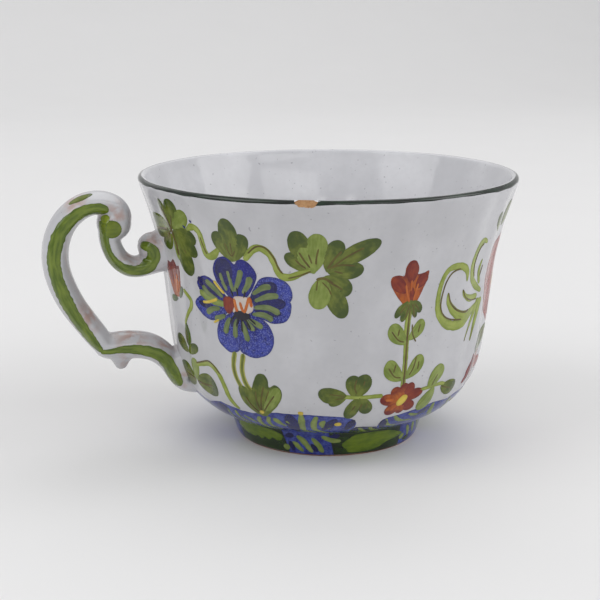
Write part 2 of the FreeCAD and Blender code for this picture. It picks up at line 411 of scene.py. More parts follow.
def lathe(name, section, finishes, closed=False, wavy=()):
    """A section of (radius, height) turned about Z. wavy holds the numbers of its fluted points."""
    verts, faces, starts = [], [], []
    for k, (radius, height) in enumerate(section):
        starts.append(len(verts))
        if radius < 1e-6:
            verts.append((0.0, 0.0, height))
            continue
        for j in range(COLUMNS):
            turn = 2 * math.pi * j / COLUMNS
            reach = radius + (ripple(turn, height) if k in wavy else sway(turn, radius, height))
            verts.append((reach * math.cos(turn), reach * math.sin(turn), height))
    pairs = list(zip(range(len(section)), range(1, len(section))))
    if closed:
        pairs.append((len(section) - 1, 0))
    for low, high in pairs:
        a, b = starts[low], starts[high]
        for j in range(COLUMNS):
            k = (j + 1) % COLUMNS
            if section[low][0] < 1e-6:
                faces.append((a, b + k, b + j))
            elif section[high][0] < 1e-6:
                faces.append((a + j, a + k, b))
            else:
                faces.append((a + j, a + k, b + k, b + j))
    return new_object(name, verts, faces, finishes)


def stepped(points, fine, coarse):
    """A smooth section with short steps near the lip and the foot, and longer ones between."""
    lip, foot = 67, 7.5
    out = [points[0]]
    for point in curve(points, 0.1)[1:]:
        ends = min(abs(point[1] - lip), abs(point[1] - foot) / 2 + 0.2)
        if math.dist(point, out[-1]) >= fine + (coarse - fine) * ease(ends, 0.5, 6):
            out.append(point)
    out[-1] = points[-1]
    return out


def chip_cutter():
    """A rough ball that bites the old chip out of the rim."""
    verts, faces = [], []
    rows, columns = 48, 96
    centre = on_wall(CHIP_ANGLE, rise_at(CHIP_HEIGHT))
    out = Vector((centre.x, centre.y, 0)).normalized()
    middle = centre + out * CHIP_OUT + Vector((0, 0, CHIP_UP))
    side = Vector((-out.y, out.x, 0))
    for i in range(rows + 1):
        tilt = math.pi * i / rows
        for j in range(columns if 0 < i < rows else 1):
            turn = 2 * math.pi * j / columns
            ray = Vector((math.sin(tilt) * math.cos(turn), math.sin(tilt) * math.sin(turn), math.cos(tilt)))
            rough = 1 + 0.12 * noise.noise(ray * 3.1) + 0.08 * noise.noise(ray * 9)
            reach = out * ray.x * CHIP_RADII[0] + side * ray.y * CHIP_RADII[1]
            reach.z += ray.z * CHIP_RADII[2]
            verts.append(middle + reach * rough)
    last = len(verts) - 1
    for i in range(1, rows - 1):
        for j in range(columns):
            k = (j + 1) % columns
            a, b = 1 + (i - 1) * columns, 1 + i * columns
            faces.append((a + j, b + j, b + k, a + k))
    for j in range(columns):
        k = (j + 1) % columns
        faces.append((0, 1 + j, 1 + k))
        faces.append((last, last - columns + k, last - columns + j))
    return new_object("chip_cutter", verts, faces, [CHIP_CLAY])


def make_bowl():
    """The glazed bowl in one closed piece: outside, lip, inside and underside."""
    outside = stepped(OUTSIDE, 0.3, 1.0)
    inside = stepped(INSIDE, 0.3, 2.2)[1:]
    under = curve(UNDERSIDE, 0.8)
    section = under + outside + inside
    first = len(under)
    bowl = lathe("glazed_bowl", section, [GLAZE, INSIDE_GLAZE], wavy=range(first, first + len(outside)))
    bottom = 11 * MM
    for face in bowl.data.polygons:
        inward = face.normal.x * face.center.x + face.normal.y * face.center.y < 0
        if face.center.z > bottom and (inward or face.normal.z > 0.5):
            face.material_index = 1
    cutter = chip_cutter()
    bite = bowl.modifiers.new("chip", "BOOLEAN")
    bite.operation = "DIFFERENCE"
    bite.solver = "EXACT"
    bite.material_mode = "TRANSFER"
    bite.object = cutter
    apply_modifiers(bowl)
    bpy.data.objects.remove(cutter)
    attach(bowl, "root")
    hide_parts("bowl", "outside_glaze", "inside_glaze", "base_glaze")


def make_foot():
    """The bare clay that shows where the foot meets the table."""
    section = curve(BARE_RING, 0.2, closed=True)[::-1]
    foot = lathe("bare_foot_ring", section, [FOOT_CLAY], closed=True)
    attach(foot, "root")
    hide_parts("foot_ring")


# ---------------------------------------------------------------- the handle

# Each strap's centreline as (distance from the axis, height, thickness, width).
MAIN_SCROLL = [
    (53.4, 55.4, 3.4, 9.4), (51.9, 57.4, 4.6, 9.8), (52.9, 59.8, 5.2, 10), (55.4, 61.2, 5.6, 10),
    (58.5, 61.5, 5.8, 10), (61.8, 60.5, 6.0, 10), (64.7, 58.3, 6.2, 10), (66.8, 55.3, 6.4, 10),
    (68.1, 51.4, 6.6, 10), (68.3, 47.2, 6.6, 10), (67.6, 43.4, 6.6, 10), (66.1, 39.4, 6.6, 10),
    (64.1, 35.6, 6.4, 10), (61.5, 31.8, 6.2, 10), (58.9, 28.2, 6.0, 10), (57.0, 25.4, 5.2, 9.6),
]
SMALL_SCROLL = [
    (55.7, 56.6, 3.8, 9.4), (55.4, 53.6, 4.8, 9.8), (54.6, 50.5, 5.2, 9.8), (53.1, 47.6, 5.2, 9.8),
    (50.9, 45.8, 5.2, 9.8), (48.4, 45.3, 5.2, 9.8), (45.4, 45.9, 5.4, 9.8), (42.6, 47.0, 6.6, 10.4),
    (40.8, 47.8, 8.6, 12.0),
]
LOWER_ARM = [
    (58.6, 25.9, 4.6, 9.4), (56.4, 25.5, 6.2, 10), (52.6, 25.6, 6.8, 10), (48.8, 25.4, 6.8, 10),
    (45.6, 24.6, 6.6, 10), (43.0, 22.9, 6.2, 10), (40.9, 20.4, 5.6, 10), (39.2, 17.4, 5.2, 10.4),
    (37.4, 15.4, 5.0, 11.4), (34.6, 14.6, 4.4, 12.4),
]
UPPER_ROOT = [(41.3, 49.4, 11.6, 12.6), (42.4, 49.3, 11.2, 11.6), (44.4, 49.2, 8.8, 9.6)]
LOWER_ROOT = [(36.4, 20.0, 11.4, 12.6), (38.2, 20.4, 11.4, 11.8), (40.2, 20.8, 8.4, 10.0)]
# A strap's section, as shares of its thickness and width.
STRAP_SECTION = [
    (0.2, 0.5), (0.35, 0.34), (0.47, 0.17), (0.5, 0.0), (0.47, -0.17), (0.35, -0.34), (0.2, -0.5),
    (-0.2, -0.5), (-0.35, -0.34), (-0.47, -0.17), (-0.5, 0.0), (-0.47, 0.17), (-0.35, 0.34), (-0.2, 0.5),
]
# A boss's section, as shares of half its width and of its radius.
BOSS_SECTION = [
    (-1, 0.45), (-0.97, 0.56), (-0.6, 0.86), (-0.2, 1), (0.2, 1), (0.6, 0.86), (0.97, 0.56), (1, 0.45),
]
# The spur's distance from the axis, and its section as (height, radius).
SPUR_DISTANCE = 53.2
SPUR_SECTION = [
    (24.6, 4.4), (22.9, 3.6), (22.0, 2.6), (21.0, 1.9), (20.2, 1.5), (19.6, 1.05), (19.35, 0.4),
]


def strap(path):
    """A closed tube along a path, with a section that is widest between its two narrow side faces."""
    samples = curve(path, 0.5)
    rings = []
    for k, (distance, height, thickness, width) in enumerate(samples):
        before = samples[max(k - 1, 0)]
        after = samples[min(k + 1, len(samples) - 1)]
        along = Vector((before[0] - after[0], 0, after[1] - before[1])).normalized()
        across = Vector((-along.z, 0, along.x))
        ring = []
        for u, v in STRAP_SECTION:
            spot = Vector((-distance, 0, height)) + across * (u * thickness) + Vector((0, v * width, 0))
            ring.append(tuple(spot))
        rings.append(ring)
    return tube(rings)


def boss(distance, height, radius, width):
    """A rounded drum across the handle, at the middle of a scroll."""
    rings = []
    for y, share in BOSS_SECTION:
        rings.append([(a - distance, y * width / 2, b + height) for a, b in circle(radius * share, 40)])
    return tube(rings)


def spur():
    """The pointed drip under the corner."""
    rings = []
    for height, radius in SPUR_SECTION:
        rings.append([(a - SPUR_DISTANCE, b, height) for a, b in reversed(circle(radius, 32))])
    return tube(rings)


def make_handle():
    """The handle and its luted roots, melted into one glazed form."""
    verts, faces = [], []
    parts = [strap(path) for path in (MAIN_SCROLL, SMALL_SCROLL, LOWER_ARM, UPPER_ROOT, LOWER_ROOT)]
    parts += [boss(53.9, 56.3, 4.2, 10.6), boss(44.7, 50.0, 3.6, 10.2), spur()]
    for points, polygons in parts:
        start = len(verts)
        verts += points
        faces += [tuple(start + i for i in polygon) for polygon in polygons]
    handle = new_object("scroll_handle", verts, faces, [HANDLE_GLAZE])
    melt = handle.modifiers.new("melt", "REMESH")
    melt.mode = "VOXEL"
    melt.voxel_size = 0.36 * MM
    melt.use_smooth_shade = True
    soften = handle.modifiers.new("soften", "SMOOTH")
    soften.factor = 0.5
    soften.iterations = 9
    apply_modifiers(handle)
    handle.data.polygons.foreach_set("use_smooth", [True] * len(handle.data.polygons))
    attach(handle, "root")
    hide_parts("handle", "upper_slip_joint", "lower_slip_joint")
    return handle


# ---------------------------------------------------------------- paint


# How far out each layer of paint lies from the one under it, and each next shell of a layer, so that no two
# share a surface.
LAYER_STEP = 0.04
SHELL_STEP = 0.003
# How far a shell's rim dips, and how deep its underside is sunk in the glaze.
RIM_DIP = 0.03
SUNK = 0.12
# How far apart the points of a patch are, and those of a stroke along it and across it.
PATCH_STEP = 0.42
STROKE_STEP = 0.5
LANE = 0.45


def is_inside(point, loop):
    """True if a flat point lies within a closed loop."""
    x, y = point
    hit = False
    for (x0, y0), (x1, y1) in zip(loop, loop[1:] + loop[:1]):
        if (y0 > y) != (y1 > y) and x < x0 + (y - y0) * (x1 - x0) / (y1 - y0):
            hit = not hit
    return hit


class Paint:
    """Pigment on a surface, as thin closed shells that are gathered into one object.

    A point of paint is (u, height). unit is how many millimetres one step of u is, rise turns a height into
    a distance along the surface, and place(u, rise, lift) is the point in space. Strokes get fine times as
    many points each way, for a surface that bends sharply.
    """

    def __init__(self, name, place=on_wall, unit=MM_PER_DEGREE, rise=rise_at, lift=0.05, fine=1):
        self.name = name
        self.place = place
        self.unit = unit
        self.rise = rise
        self.lift = lift
        self.fine = fine
        self.verts = []
        self.faces = []
        self.slots = []
        self.finishes = []
        self.edge = []
        self.tip = []
        self.flow = []
        self.rims = set()
        self.count = 0

    def flat(self, point):
        """A point of paint in millimetres along the surface."""
        return Vector((point[0] * self.unit, self.rise(point[1])))

    def shell(self, flat, faces, finish, layer, tips, flows):
        """Adds a closed sheet over flat points. Its rim dips to the glaze, and its underside lies in it."""
        if finish not in self.finishes:
            self.finishes.append(finish)
        self.count += 1
        lift = self.lift + layer * LAYER_STEP + (self.count % 12) * SHELL_STEP
        sides = {(a, b) for face in faces for a, b in zip(face, face[1:] + face[:1])}
        border = [(a, b) for a, b in sides if (b, a) not in sides]
        rim = {a for a, b in border}
        edge = [Vector(flat[k]) for k in rim]
        start = len(self.verts)
        low = start + len(flat)
        for k, (u, v) in enumerate(flat):
            here = Vector((u, v))
            self.verts.append(self.place(u / self.unit, v, lift - (RIM_DIP if k in rim else 0.0)))
            self.edge.append(0.0 if k in rim else min((here - other).length for other in edge))
        for u, v in flat:
            self.verts.append(self.place(u / self.unit, v, -SUNK))
            self.edge.append(0.0)
        self.tip += tips * 2
        self.flow += [(along, across, self.count * 7.3) for along, across in flows] * 2
        for face in faces:
            self.faces.append(tuple(start + k for k in face))
            self.faces.append(tuple(low + k for k in reversed(face)))
        for a, b in sorted(border):
            self.faces.append((start + b, start + a, low + a, low + b))
            self.rims.add((start + min(a, b), start + max(a, b)))
        self.slots += [self.finishes.index(finish)] * (len(self.faces) - len(self.slots))

    def patch(self, outline, finish, layer, root, end):
        """Fills a flat outline, a little unevenly. The brush went from root to end."""
        loop = []
        for x, y in outline:
            wobble = Vector((noise.noise((x, y, 3.0)), noise.noise((x, y, 8.0)))) * 0.07
            loop.append(Vector((x, y)) + wobble)
        count = len(loop)
        if sum(a.cross(b) for a, b in zip(loop, loop[1:] + loop[:1])) < 0:
            loop.reverse()
        lows = [min(p[k] for p in loop) for k in (0, 1)]
        highs = [max(p[k] for p in loop) for k in (0, 1)]
        net = list(loop)
        grid = PATCH_STEP * 1.5
        for j in range(1, int((highs[1] - lows[1]) / grid) + 1):
            for i in range(1, int((highs[0] - lows[0]) / grid) + 1):
                spot = Vector((lows[0] + (i + j % 2 / 2) * grid, lows[1] + j * grid))
                if is_inside(spot, loop) and min((spot - b).length for b in loop) > PATCH_STEP * 0.6:
                    net.append(spot)
        made = geometry.delaunay_2d_cdt(net, [], [list(range(count))], 1, 1e-5)
        axis = end - root
        length = axis.length
        axis.normalize()
        away = [Vector(p) - root for p in made[0]]
        tips = [p.dot(axis) / length for p in away]
        flows = [(p.dot(axis), p.cross(axis)) for p in away]
        self.shell([tuple(p) for p in made[0]], [tuple(f) for f in made[2]], finish, layer, tips, flows)

    def fill(self, points, finish, layer=0, toward=None, sharp=False):
        """A patch inside a closed outline, smooth unless sharp. toward is the brush's start and end."""
        flat = [self.flat(p) for p in points]
        outline = curve([tuple(p) for p in flat], PATCH_STEP, closed=True)
        if sharp:
            outline = []
            for a, b in zip(flat, flat[1:] + flat[:1]):
                steps = max(1, round((b - a).length / PATCH_STEP))
                outline += [a.lerp(b, k / steps) for k in range(steps)]
        if toward:
            root, end = (self.flat(p) for p in toward)
        else:
            root = min(flat, key=lambda p: p.y)
            end = max(flat, key=lambda p: p.y)
        self.patch(outline, finish, layer, root, end)

    def lobe(self, base, tip, width, finish, layer=0, full=0.6, bend=0.0):
        """One press of the brush, from base to a rounded tip, widest at full of its length."""
        start = self.flat(base)
        end = self.flat(tip)
        axis = end - start
        across = Vector((-axis.y, axis.x)).normalized()
        power = math.log(0.5) / math.log(full)
        left, right = [], []
        count = max(9, int(axis.length / LANE))
        for k in range(1, count):
            t = (1 - math.cos(math.pi * k / count)) / 2
            half = width / 2 * math.sqrt(max(0.0, 1 - (2 * t**power - 1) ** 2))
            spine = start + axis * t + across * (bend * math.sin(math.pi * t))
            left.append(spine + across * half)
            right.append(spine - across * half)
        self.patch([start] + right + [end] + left[::-1], finish, layer, start, end)

    def stroke(self, path, width, finish, layer=0, taper=0.5):
        """A line of the brush through points. Its ends close over taper times its width."""
        widths = width if isinstance(width, (list, tuple)) else [width] * len(path)
        samples = curve([(*self.flat(p), w) for p, w in zip(path, widths)], STROKE_STEP / self.fine)
        total = sum(math.dist(a[:2], b[:2]) for a, b in zip(samples, samples[1:]))
        lanes = max(4, round(max(widths) * self.fine / LANE))
        offsets = [1 - 2 * k / lanes for k in range(lanes + 1)]
        flat, tips, flows = [], [], []
        run = 0.0
        for k, (u, v, w) in enumerate(samples):
            before = samples[max(k - 1, 0)]
            after = samples[min(k + 1, len(samples) - 1)]
            run += math.dist((u, v), before[:2])
            axis = Vector((after[0] - before[0], after[1] - before[1])).normalized()
            closing = min(1.0, run / (taper * w), (total - run) / (taper * w))
            uneven = 1 + 0.14 * noise.noise((u * 0.9, v * 0.9, 1.0))
            half = max(0.07, w / 2 * math.sqrt(max(0.0, 1 - (1 - closing) ** 2)) * uneven)
            for offset in offsets:
                flat.append((u - axis.y * offset * half, v + axis.x * offset * half))
                tips.append(run / total)
                flows.append((run, offset * half))
        faces = []
        for i in range(len(samples) - 1):
            for j in range(len(offsets) - 1):
                a = i * len(offsets) + j
                b = a + len(offsets)
                faces.append((a, a + 1, b + 1, b))
        self.shell(flat, faces, finish, layer, tips, flows)

    def band(self, start, end, low, high, finish, layer=0, rows=4):
        """A strip from low to high and from start to end.

        low and high are functions of the angle, and start and end are functions of the height.
        """
        first = start(low(0))
        last = end(low(0))
        columns = max(2, round((last - first) * self.unit / 0.6))
        flat, tips, flows = [], [], []
        for i in range(columns + 1):
            base = first + (last - first) * i / columns
            for j in range(rows + 1):
                height = low(base) + (high(base) - low(base)) * j / rows
                angle = start(height) + (end(height) - start(height)) * i / columns
                flat.append((angle * self.unit, self.rise(height)))
                tips.append(j / rows)
                flows.append((angle * self.unit, height))
        faces = []
        for i in range(columns):
            for j in range(rows):
                a = i * (rows + 1) + j
                faces.append((a, a + rows + 1, a + rows + 2, a + 1))
        self.shell(flat, faces, finish, layer, tips, flows)

    def done(self):
        """Makes the object, with what its materials need to know of each point."""
        made = new_object(self.name, self.verts, self.faces, self.finishes, self.slots)
        for name, values in (("edge", self.edge), ("tip", self.tip)):
            made.data.attributes.new(name, "FLOAT", "POINT").data.foreach_set("value", values)
        for edge in made.data.edges:
            edge.use_edge_sharp = tuple(sorted(edge.vertices)) in self.rims
        flow = made.data.attributes.new("flow", "FLOAT_VECTOR", "POINT")
        flow.data.foreach_set("vector", [c for f in self.flow for c in f])
        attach(made, "root")


# ---------------------------------------------------------------- what is painted on the cup


def turned(shift):
    """The wall, with everything on it moved round by shift degrees."""
    return lambda angle, rise, lift: on_wall(angle + shift, rise, lift)


def painted(name, shift=0, lift=0.05, unit=MM_PER_DEGREE):
    """The pigment of one motif, moved round by shift degrees."""
    return Paint(name if shift == 0 else f"{name}_back", turned(shift), unit, lift=lift)


def lobes(paint, rows, layer=0):
    """Leaf lobes or petals, each (base, tip, width, finish), and a bend if it has one."""
    for base, tip, width, finish, *bend in rows:
        paint.lobe(base, tip, width, finish, layer, 0.6, *bend)


def strokes(paint, rows, finish, layer=1):
    """Fine strokes, each (width, points)."""
    for width, path in rows:
        paint.stroke(path, width, finish, layer)


def upper_left_leaves(shift=0):
    """The large many-lobed leaf at the left, with two drops of blue."""
    paint = painted("leaves_upper_left", shift)
    lobes(paint, (
        ((-56.5, 57), (-71.5, 56.6), 6.4, LEAF),
        ((-56, 55.5), (-65.5, 51.8), 3.8, LEAF, 0.3),
        ((-55.5, 57), (-59.2, 64), 3.6, LEAF),
        ((-55, 57), (-51.6, 64.6), 4.8, LEAF),
        ((-55, 57), (-45.6, 61.8), 4.4, LEAF_LIGHT),
        ((-55, 56.5), (-43.6, 55.4), 4.4, LEAF),
        ((-54.5, 56), (-44.6, 51.6), 4.4, LEAF),
        ((-54.5, 56.5), (-50, 46), 5.6, LEAF),
        ((-55, 55.5), (-55.4, 49.3), 2.6, LEAF_LIGHT),
    ))
    strokes(paint, (
        (0.9, [(-59, 62), (-57.4, 59.6), (-56, 57), (-55, 53.5), (-55, 50.4)]),
        (0.6, [(-70, 55.6), (-65, 56), (-59, 56.6)]),
        (0.4, [(-53.4, 60.5), (-54.6, 58.6), (-55.4, 57)]),
        (0.5, [(-60.6, 54.4), (-58.4, 55.6), (-56.4, 56.6)]),
        (0.35, [(-51.6, 52.6), (-50.4, 51.4)]),
    ), VEIN)
    strokes(paint, ((0.7, [(-48.7, 58.6), (-47.6, 58)]), (0.6, [(-44.4, 60.3), (-43.6, 59.8)])), COBALT, 2)
    paint.done()


def tendrils(shift=0):
    """The waved stalks between the leaves."""
    paint = painted("tendrils", shift, lift=0.06)
    paint.stroke([
        (-47.5, 57.5), (-45, 58.5), (-43, 58.7), (-41.3, 57.5), (-40.9, 55), (-40.5, 53), (-39.4, 52),
        (-37.5, 52.4), (-35, 54.2),
    ], [1, 1.7, 1.8, 1.6, 1.6, 1.6, 1.7, 1.9, 1.2], TENDRIL)
    paint.stroke([
        (-25.8, 52.2), (-23, 54.8), (-20.3, 55.5), (-17.5, 54.3), (-16, 52), (-15, 50), (-13.5, 49),
        (-11, 49), (-8, 50), (-4.8, 51),
    ], [1.2, 1.8, 1.8, 1.7, 1.5, 1.6, 1.8, 1.8, 1.5, 1], TENDRIL)
    paint.stroke([
        (-54, 23.3), (-50, 24.1), (-46, 24.8), (-43, 24.3), (-40.5, 22.5), (-39, 19.5), (-38.4, 17),
        (-37, 14.8), (-35.5, 14),
    ], [1, 1.3, 1.5, 1.5, 1.4, 1.4, 1.5, 1.4, 1], TENDRIL)
    paint.stroke([(-56, 42), (-52, 40), (-52.2, 38), (-54, 36.5), (-58, 33)], 1.1, TENDRIL)
    strokes(paint, (
        (0.4, [(-24.4, 54), (-21.4, 55.8), (-18.4, 55.6), (-16, 53.4), (-14.8, 51), (-13.6, 49.8)]),
        (0.35, [(-12, 48.7), (-8.6, 49.4), (-5, 50.6)]),
        (0.3, [(-41.2, 56.6), (-40.6, 54.2), (-39.8, 52.6)]),
        (0.4, [(-53, 23.9), (-49.6, 24.7), (-46, 25.4), (-43, 24.9), (-40.2, 23)]),
    ), VEIN)
    paint.done()


def top_leaves(shift=0):
    """The large hand-shaped leaf under the chip, and the three-lobed one over the pansy."""
    paint = painted("leaves_top", shift)
    lobes(paint, (
        ((-30, 51.6), (-35.6, 58.4), 4.4, LEAF),
        ((-30, 51.6), (-25, 58.4), 4.2, LEAF),
        ((-30, 51.6), (-30.4, 62), 5, LEAF),
        ((-4, 50.3), (-12.6, 54.4), 3.8, LEAF),
        ((-4, 50.3), (-9.8, 60), 5, LEAF, 0.3),
        ((-4, 50), (-7.6, 56.6), 5.2, LEAF_LIGHT),
        ((-4, 50.3), (-2.8, 59.6), 5, LEAF_LIGHT),
        ((-0.2, 50.4), (3.4, 58), 4.4, LEAF),
        ((0, 50.6), (15.4, 57.8), 4.4, LEAF, 0.3),
        ((0, 50.4), (10.9, 51.2), 4.2, LEAF, -0.2),
        ((-1, 49.4), (-3.4, 41.6), 5, LEAF_LIGHT),
        ((-1, 49.4), (7.2, 45.2), 4.6, LEAF, 0.2),
        ((-1, 49.4), (5.4, 39.4), 4.6, LEAF),
    ))
    strokes(paint, (
        (0.35, [(-32, 56), (-31, 53.8), (-29.8, 53), (-28.6, 54.4)]),
        (0.3, [(-29.8, 56.2), (-29.8, 53.2)]),
        (0.45, [(-8.4, 55), (-7, 53.2), (-5.2, 51.4)]),
        (0.4, [(-9.6, 53.2), (-8, 52), (-6.4, 51.2)]),
        (0.4, [(-2.6, 56), (-3.2, 54), (-3.4, 52.2)]),
        (0.35, [(-5.6, 54.6), (-4.6, 52.4)]),
        (0.5, [(4.2, 55.4), (1.8, 53.4), (0, 51.2)]),
        (0.4, [(10.6, 56.2), (6, 54.2), (1, 51.4)]),
        (0.4, [(8.2, 51.9), (4, 52.1), (0.8, 51.4)]),
        (0.35, [(4.6, 50.1), (2, 50.7)]),
        (0.7, [(-3.4, 48.6), (-1, 48.9), (1.8, 47.6)]),
        (0.4, [(-3, 48.4), (-3.4, 45.8)]),
        (0.4, [(-1.8, 48.2), (0.2, 46.6), (1.2, 45)]),
        (0.4, [(0.6, 48), (3, 47), (4.6, 46.2)]),
    ), VEIN)
    paint.done()


def pansy(shift=0):
    """The large blue pansy, and the olive, cream and orange strokes round its eye."""
    paint = painted("pansy", shift)
    heart = (-28, 41)
    paint.fill([
        (-44.5, 42), (-48, 41), (-49.7, 39.4), (-47.5, 37.7), (-44, 36.6), (-40, 36.4), (-36, 37.8),
        (-32.5, 40.5), (-36.5, 42.4),
    ], COBALT, toward=(heart, (-49.7, 39.4)))
    paint.fill([
        (-33, 41.5), (-35.5, 43.6), (-38, 45.5), (-41.5, 47), (-45, 46.5), (-47.5, 44.8), (-46, 42.8),
        (-43.5, 41.9), (-38, 41.5),
    ], NAVY, toward=(heart, (-47.5, 45.4)))
    paint.fill([
        (-30.5, 39.6), (-34.5, 38.4), (-38, 36.5), (-39.3, 33.5), (-38.5, 31), (-35, 29.2), (-32, 29.4),
        (-30, 30.5), (-29, 35),
    ], COBALT, toward=(heart, (-36, 29.5)))
    paint.fill([
        (-29.6, 38.6), (-30, 34), (-30.2, 30.3), (-27, 29), (-24, 28.7), (-20, 29.8), (-17.8, 32),
        (-17.5, 34.5), (-19, 37), (-22, 38.6), (-26, 39.7),
    ], COBALT, toward=(heart, (-20.5, 30)))
    paint.fill([
        (-25, 40), (-24.5, 39.2), (-20, 38), (-17, 37.6), (-13, 38.4), (-11.4, 41), (-12, 43.2),
        (-17, 43.2), (-24.5, 42),
    ], COBALT, toward=(heart, (-11.4, 40.5)))
    paint.fill([
        (-25, 42.4), (-22.6, 47), (-20, 48.5), (-16, 48.7), (-12.5, 47.6), (-10.9, 45), (-12, 42.8),
        (-17, 41.8),
    ], COBALT, toward=(heart, (-13, 48)))
    paint.fill([
        (-30.5, 41.8), (-33.5, 43), (-36, 44.6), (-38, 46.6), (-38.5, 49.2), (-36.8, 51.5), (-34, 52.5),
        (-31.4, 52), (-29.6, 51), (-28.4, 52), (-26.5, 52.4), (-24.2, 51.3), (-22.5, 49), (-23.2, 46.8),
        (-24.8, 44.6), (-27.5, 42.4),
    ], NAVY, 1, toward=(heart, (-31, 52.6)))
    lobes(paint, (
        ((-25, 42.6), (-15.8, 47), 3.8, INDIGO),
        ((-24, 42), (-13, 42.6), 3, INDIGO),
        ((-24, 40.4), (-14.5, 40.2), 2, INDIGO),
        ((-28.6, 38.6), (-23.6, 35.6), 2.6, INDIGO),
        ((-29, 38.6), (-33.2, 35.8), 2.2, INDIGO),
        ((-37.4, 42.6), (-46.8, 46), 2.6, INDIGO),
        ((-39, 39.6), (-47.5, 40), 1.6, INDIGO),
    ), 1)
    paint.fill([
        (-36.4, 46.4), (-37.8, 48.8), (-36.4, 51.2), (-34, 52), (-31.6, 51.4), (-30.6, 49), (-32, 46.2),
        (-34.6, 45),
    ], INDIGO, 2, toward=(heart, (-35, 52)))
    paint.done()
    detail = painted("pansy_strokes", shift, lift=0.14)
    for path in (
        [(-36, 48.6), (-35.2, 46.4), (-33.8, 44.2)],
        [(-32.8, 49.4), (-32.2, 46.8), (-31, 44.2)],
        [(-27.4, 49.9), (-28.8, 47), (-30.6, 44.4)],
        [(-24.6, 48.4), (-25.6, 46.2), (-27.6, 44.2)],
        [(-17.6, 46.4), (-20.5, 46), (-24.2, 44.2)],
        [(-15.2, 44.4), (-19, 44), (-23.6, 42.6)],
        [(-15, 40.2), (-19, 41.3), (-24, 41)],
        [(-17.4, 38.4), (-20.5, 39.4), (-24.6, 39.4)],
        [(-35.8, 33.6), (-34.8, 36), (-33.2, 37.8)],
        [(-31.6, 33), (-31.4, 35.4), (-30.4, 37.8)],
        [(-26.6, 32.6), (-27.6, 35.2), (-28.6, 37.5)],
        [(-24.2, 35.4), (-25.6, 36.6), (-27.1, 38.1)],
        [(-21.2, 36.3), (-23.6, 37.2), (-26.1, 38.2)],
        [(-42.4, 46), (-39.4, 44.6), (-35.8, 42.4)],
        [(-44.4, 44.4), (-41.6, 42.8), (-37.8, 41.6)],
        [(-43.2, 37.9), (-40.2, 39.2), (-37.2, 39.6)],
        [(-39.7, 36.7), (-37.6, 37.4), (-35.3, 38.1)],
    ):
        detail.stroke(path, [1.5, 1.4, 0.8], OLIVE)
    detail.stroke([(-46.4, 42.8), (-42.6, 42), (-38, 41), (-34.6, 40.8)], [1.5, 1.9, 1.8, 0.9], OLIVE_LIGHT)
    strokes(detail, (
        (0.7, [(-44.8, 40.4), (-41.6, 40.8), (-38, 41.8)]),
        (0.6, [(-38.8, 46.2), (-37, 44.6), (-35, 43.4)]),
        (0.5, [(-40.2, 35.9), (-38, 36.8)]),
    ), YELLOW)
    detail.fill([
        (-31.8, 39.4), (-31.9, 41.6), (-31, 43), (-28.5, 43.4), (-25.6, 43.2), (-24.3, 42), (-24.3, 40.4),
        (-26, 39.4), (-28.5, 39),
    ], CREAM, 0)
    detail.fill([
        (-35.5, 42.3), (-33.8, 42.9), (-31.2, 42.6), (-30.8, 41.4), (-32, 39.5), (-33.8, 38.7),
        (-35.4, 39.9),
    ], RUST_DEEP, 1)
    strokes(detail, (
        (0.9, [(-31, 42.7), (-30.6, 41), (-29.9, 39.4)]),
        (0.7, [(-28.7, 42.1), (-28.2, 40.6), (-27.3, 39.7), (-26.2, 41.6), (-25.3, 43.2), (-24.7, 41)]),
    ), ORANGE, 2)
    detail.fill([
        (-31.4, 39.2), (-29.6, 39.9), (-27.4, 39.8), (-25.4, 39), (-26.6, 38), (-28.6, 37.7), (-30.6, 38),
    ], NIGHT, 2)
    strokes(detail, (
        (0.45, [(-31, 38.8), (-33.4, 36.8)]), (0.45, [(-29.8, 38.2), (-30.8, 35.8)]),
        (0.5, [(-28.6, 38), (-28.6, 34.8)]), (0.45, [(-27.2, 38.2), (-25.4, 35.6)]),
        (0.4, [(-26.2, 38.6), (-23.6, 37)]), (0.4, [(-31.4, 43.2), (-32.2, 44.8)]),
        (0.4, [(-29.4, 43.4), (-29.6, 45.4)]), (0.4, [(-27.2, 43.2), (-26.6, 44.8)]),
    ), NIGHT, 1)
    detail.done()


def stems_and_leaf(shift=0):
    """The pansy's two stems and the leaf that they stand in."""
    paint = painted("leaf_under_pansy", shift)
    for path in (
        [(-32.4, 29.6), (-33.6, 26), (-33, 23), (-31, 20.3)],
        [(-28.9, 29.4), (-30, 25.2), (-29, 21.8), (-27, 20)],
    ):
        paint.stroke(path, 1.5, STEM_EDGE)
        paint.stroke(path, 0.8, STEM_HEART, 1)
    paint.fill([
        (-25.6, 13), (-29.6, 14.8), (-32.2, 17.2), (-32.8, 20.2), (-31.4, 21.2), (-28.6, 20.8),
        (-27.2, 20.6), (-26, 22.6), (-24.4, 24.6), (-22, 24.8), (-20.6, 23.4), (-20.4, 21.6), (-18, 22.4),
        (-16, 21.4), (-15.8, 19.4), (-18, 16.8), (-21, 14.8), (-23.4, 13.2),
    ], LEAF, toward=((-25, 13), (-23, 24.8)))
    lobes(paint, (
        ((-24.6, 15.6), (-23, 24.4), 4.2, LEAF),
        ((-23.6, 14.8), (-16.6, 21.6), 3.6, LEAF_LIGHT),
    ), 1)
    strokes(paint, (
        (0.4, [(-22.4, 21.6), (-24, 18), (-25, 14.8)]),
        (0.35, [(-25.6, 20.2), (-25.8, 17), (-25.4, 15)]),
        (0.4, [(-30, 18.4), (-28.6, 16.2), (-26.4, 14.4)]),
        (0.4, [(-18.6, 19.6), (-21.6, 17), (-24, 14.8)]),
        (0.35, [(-20.6, 20.6), (-22.6, 17.6)]),
    ), VEIN, 2)
    paint.lobe((-26, 14.4), (-24.2, 14.6), 1.2, YELLOW, 3, full=0.5)
    paint.done()


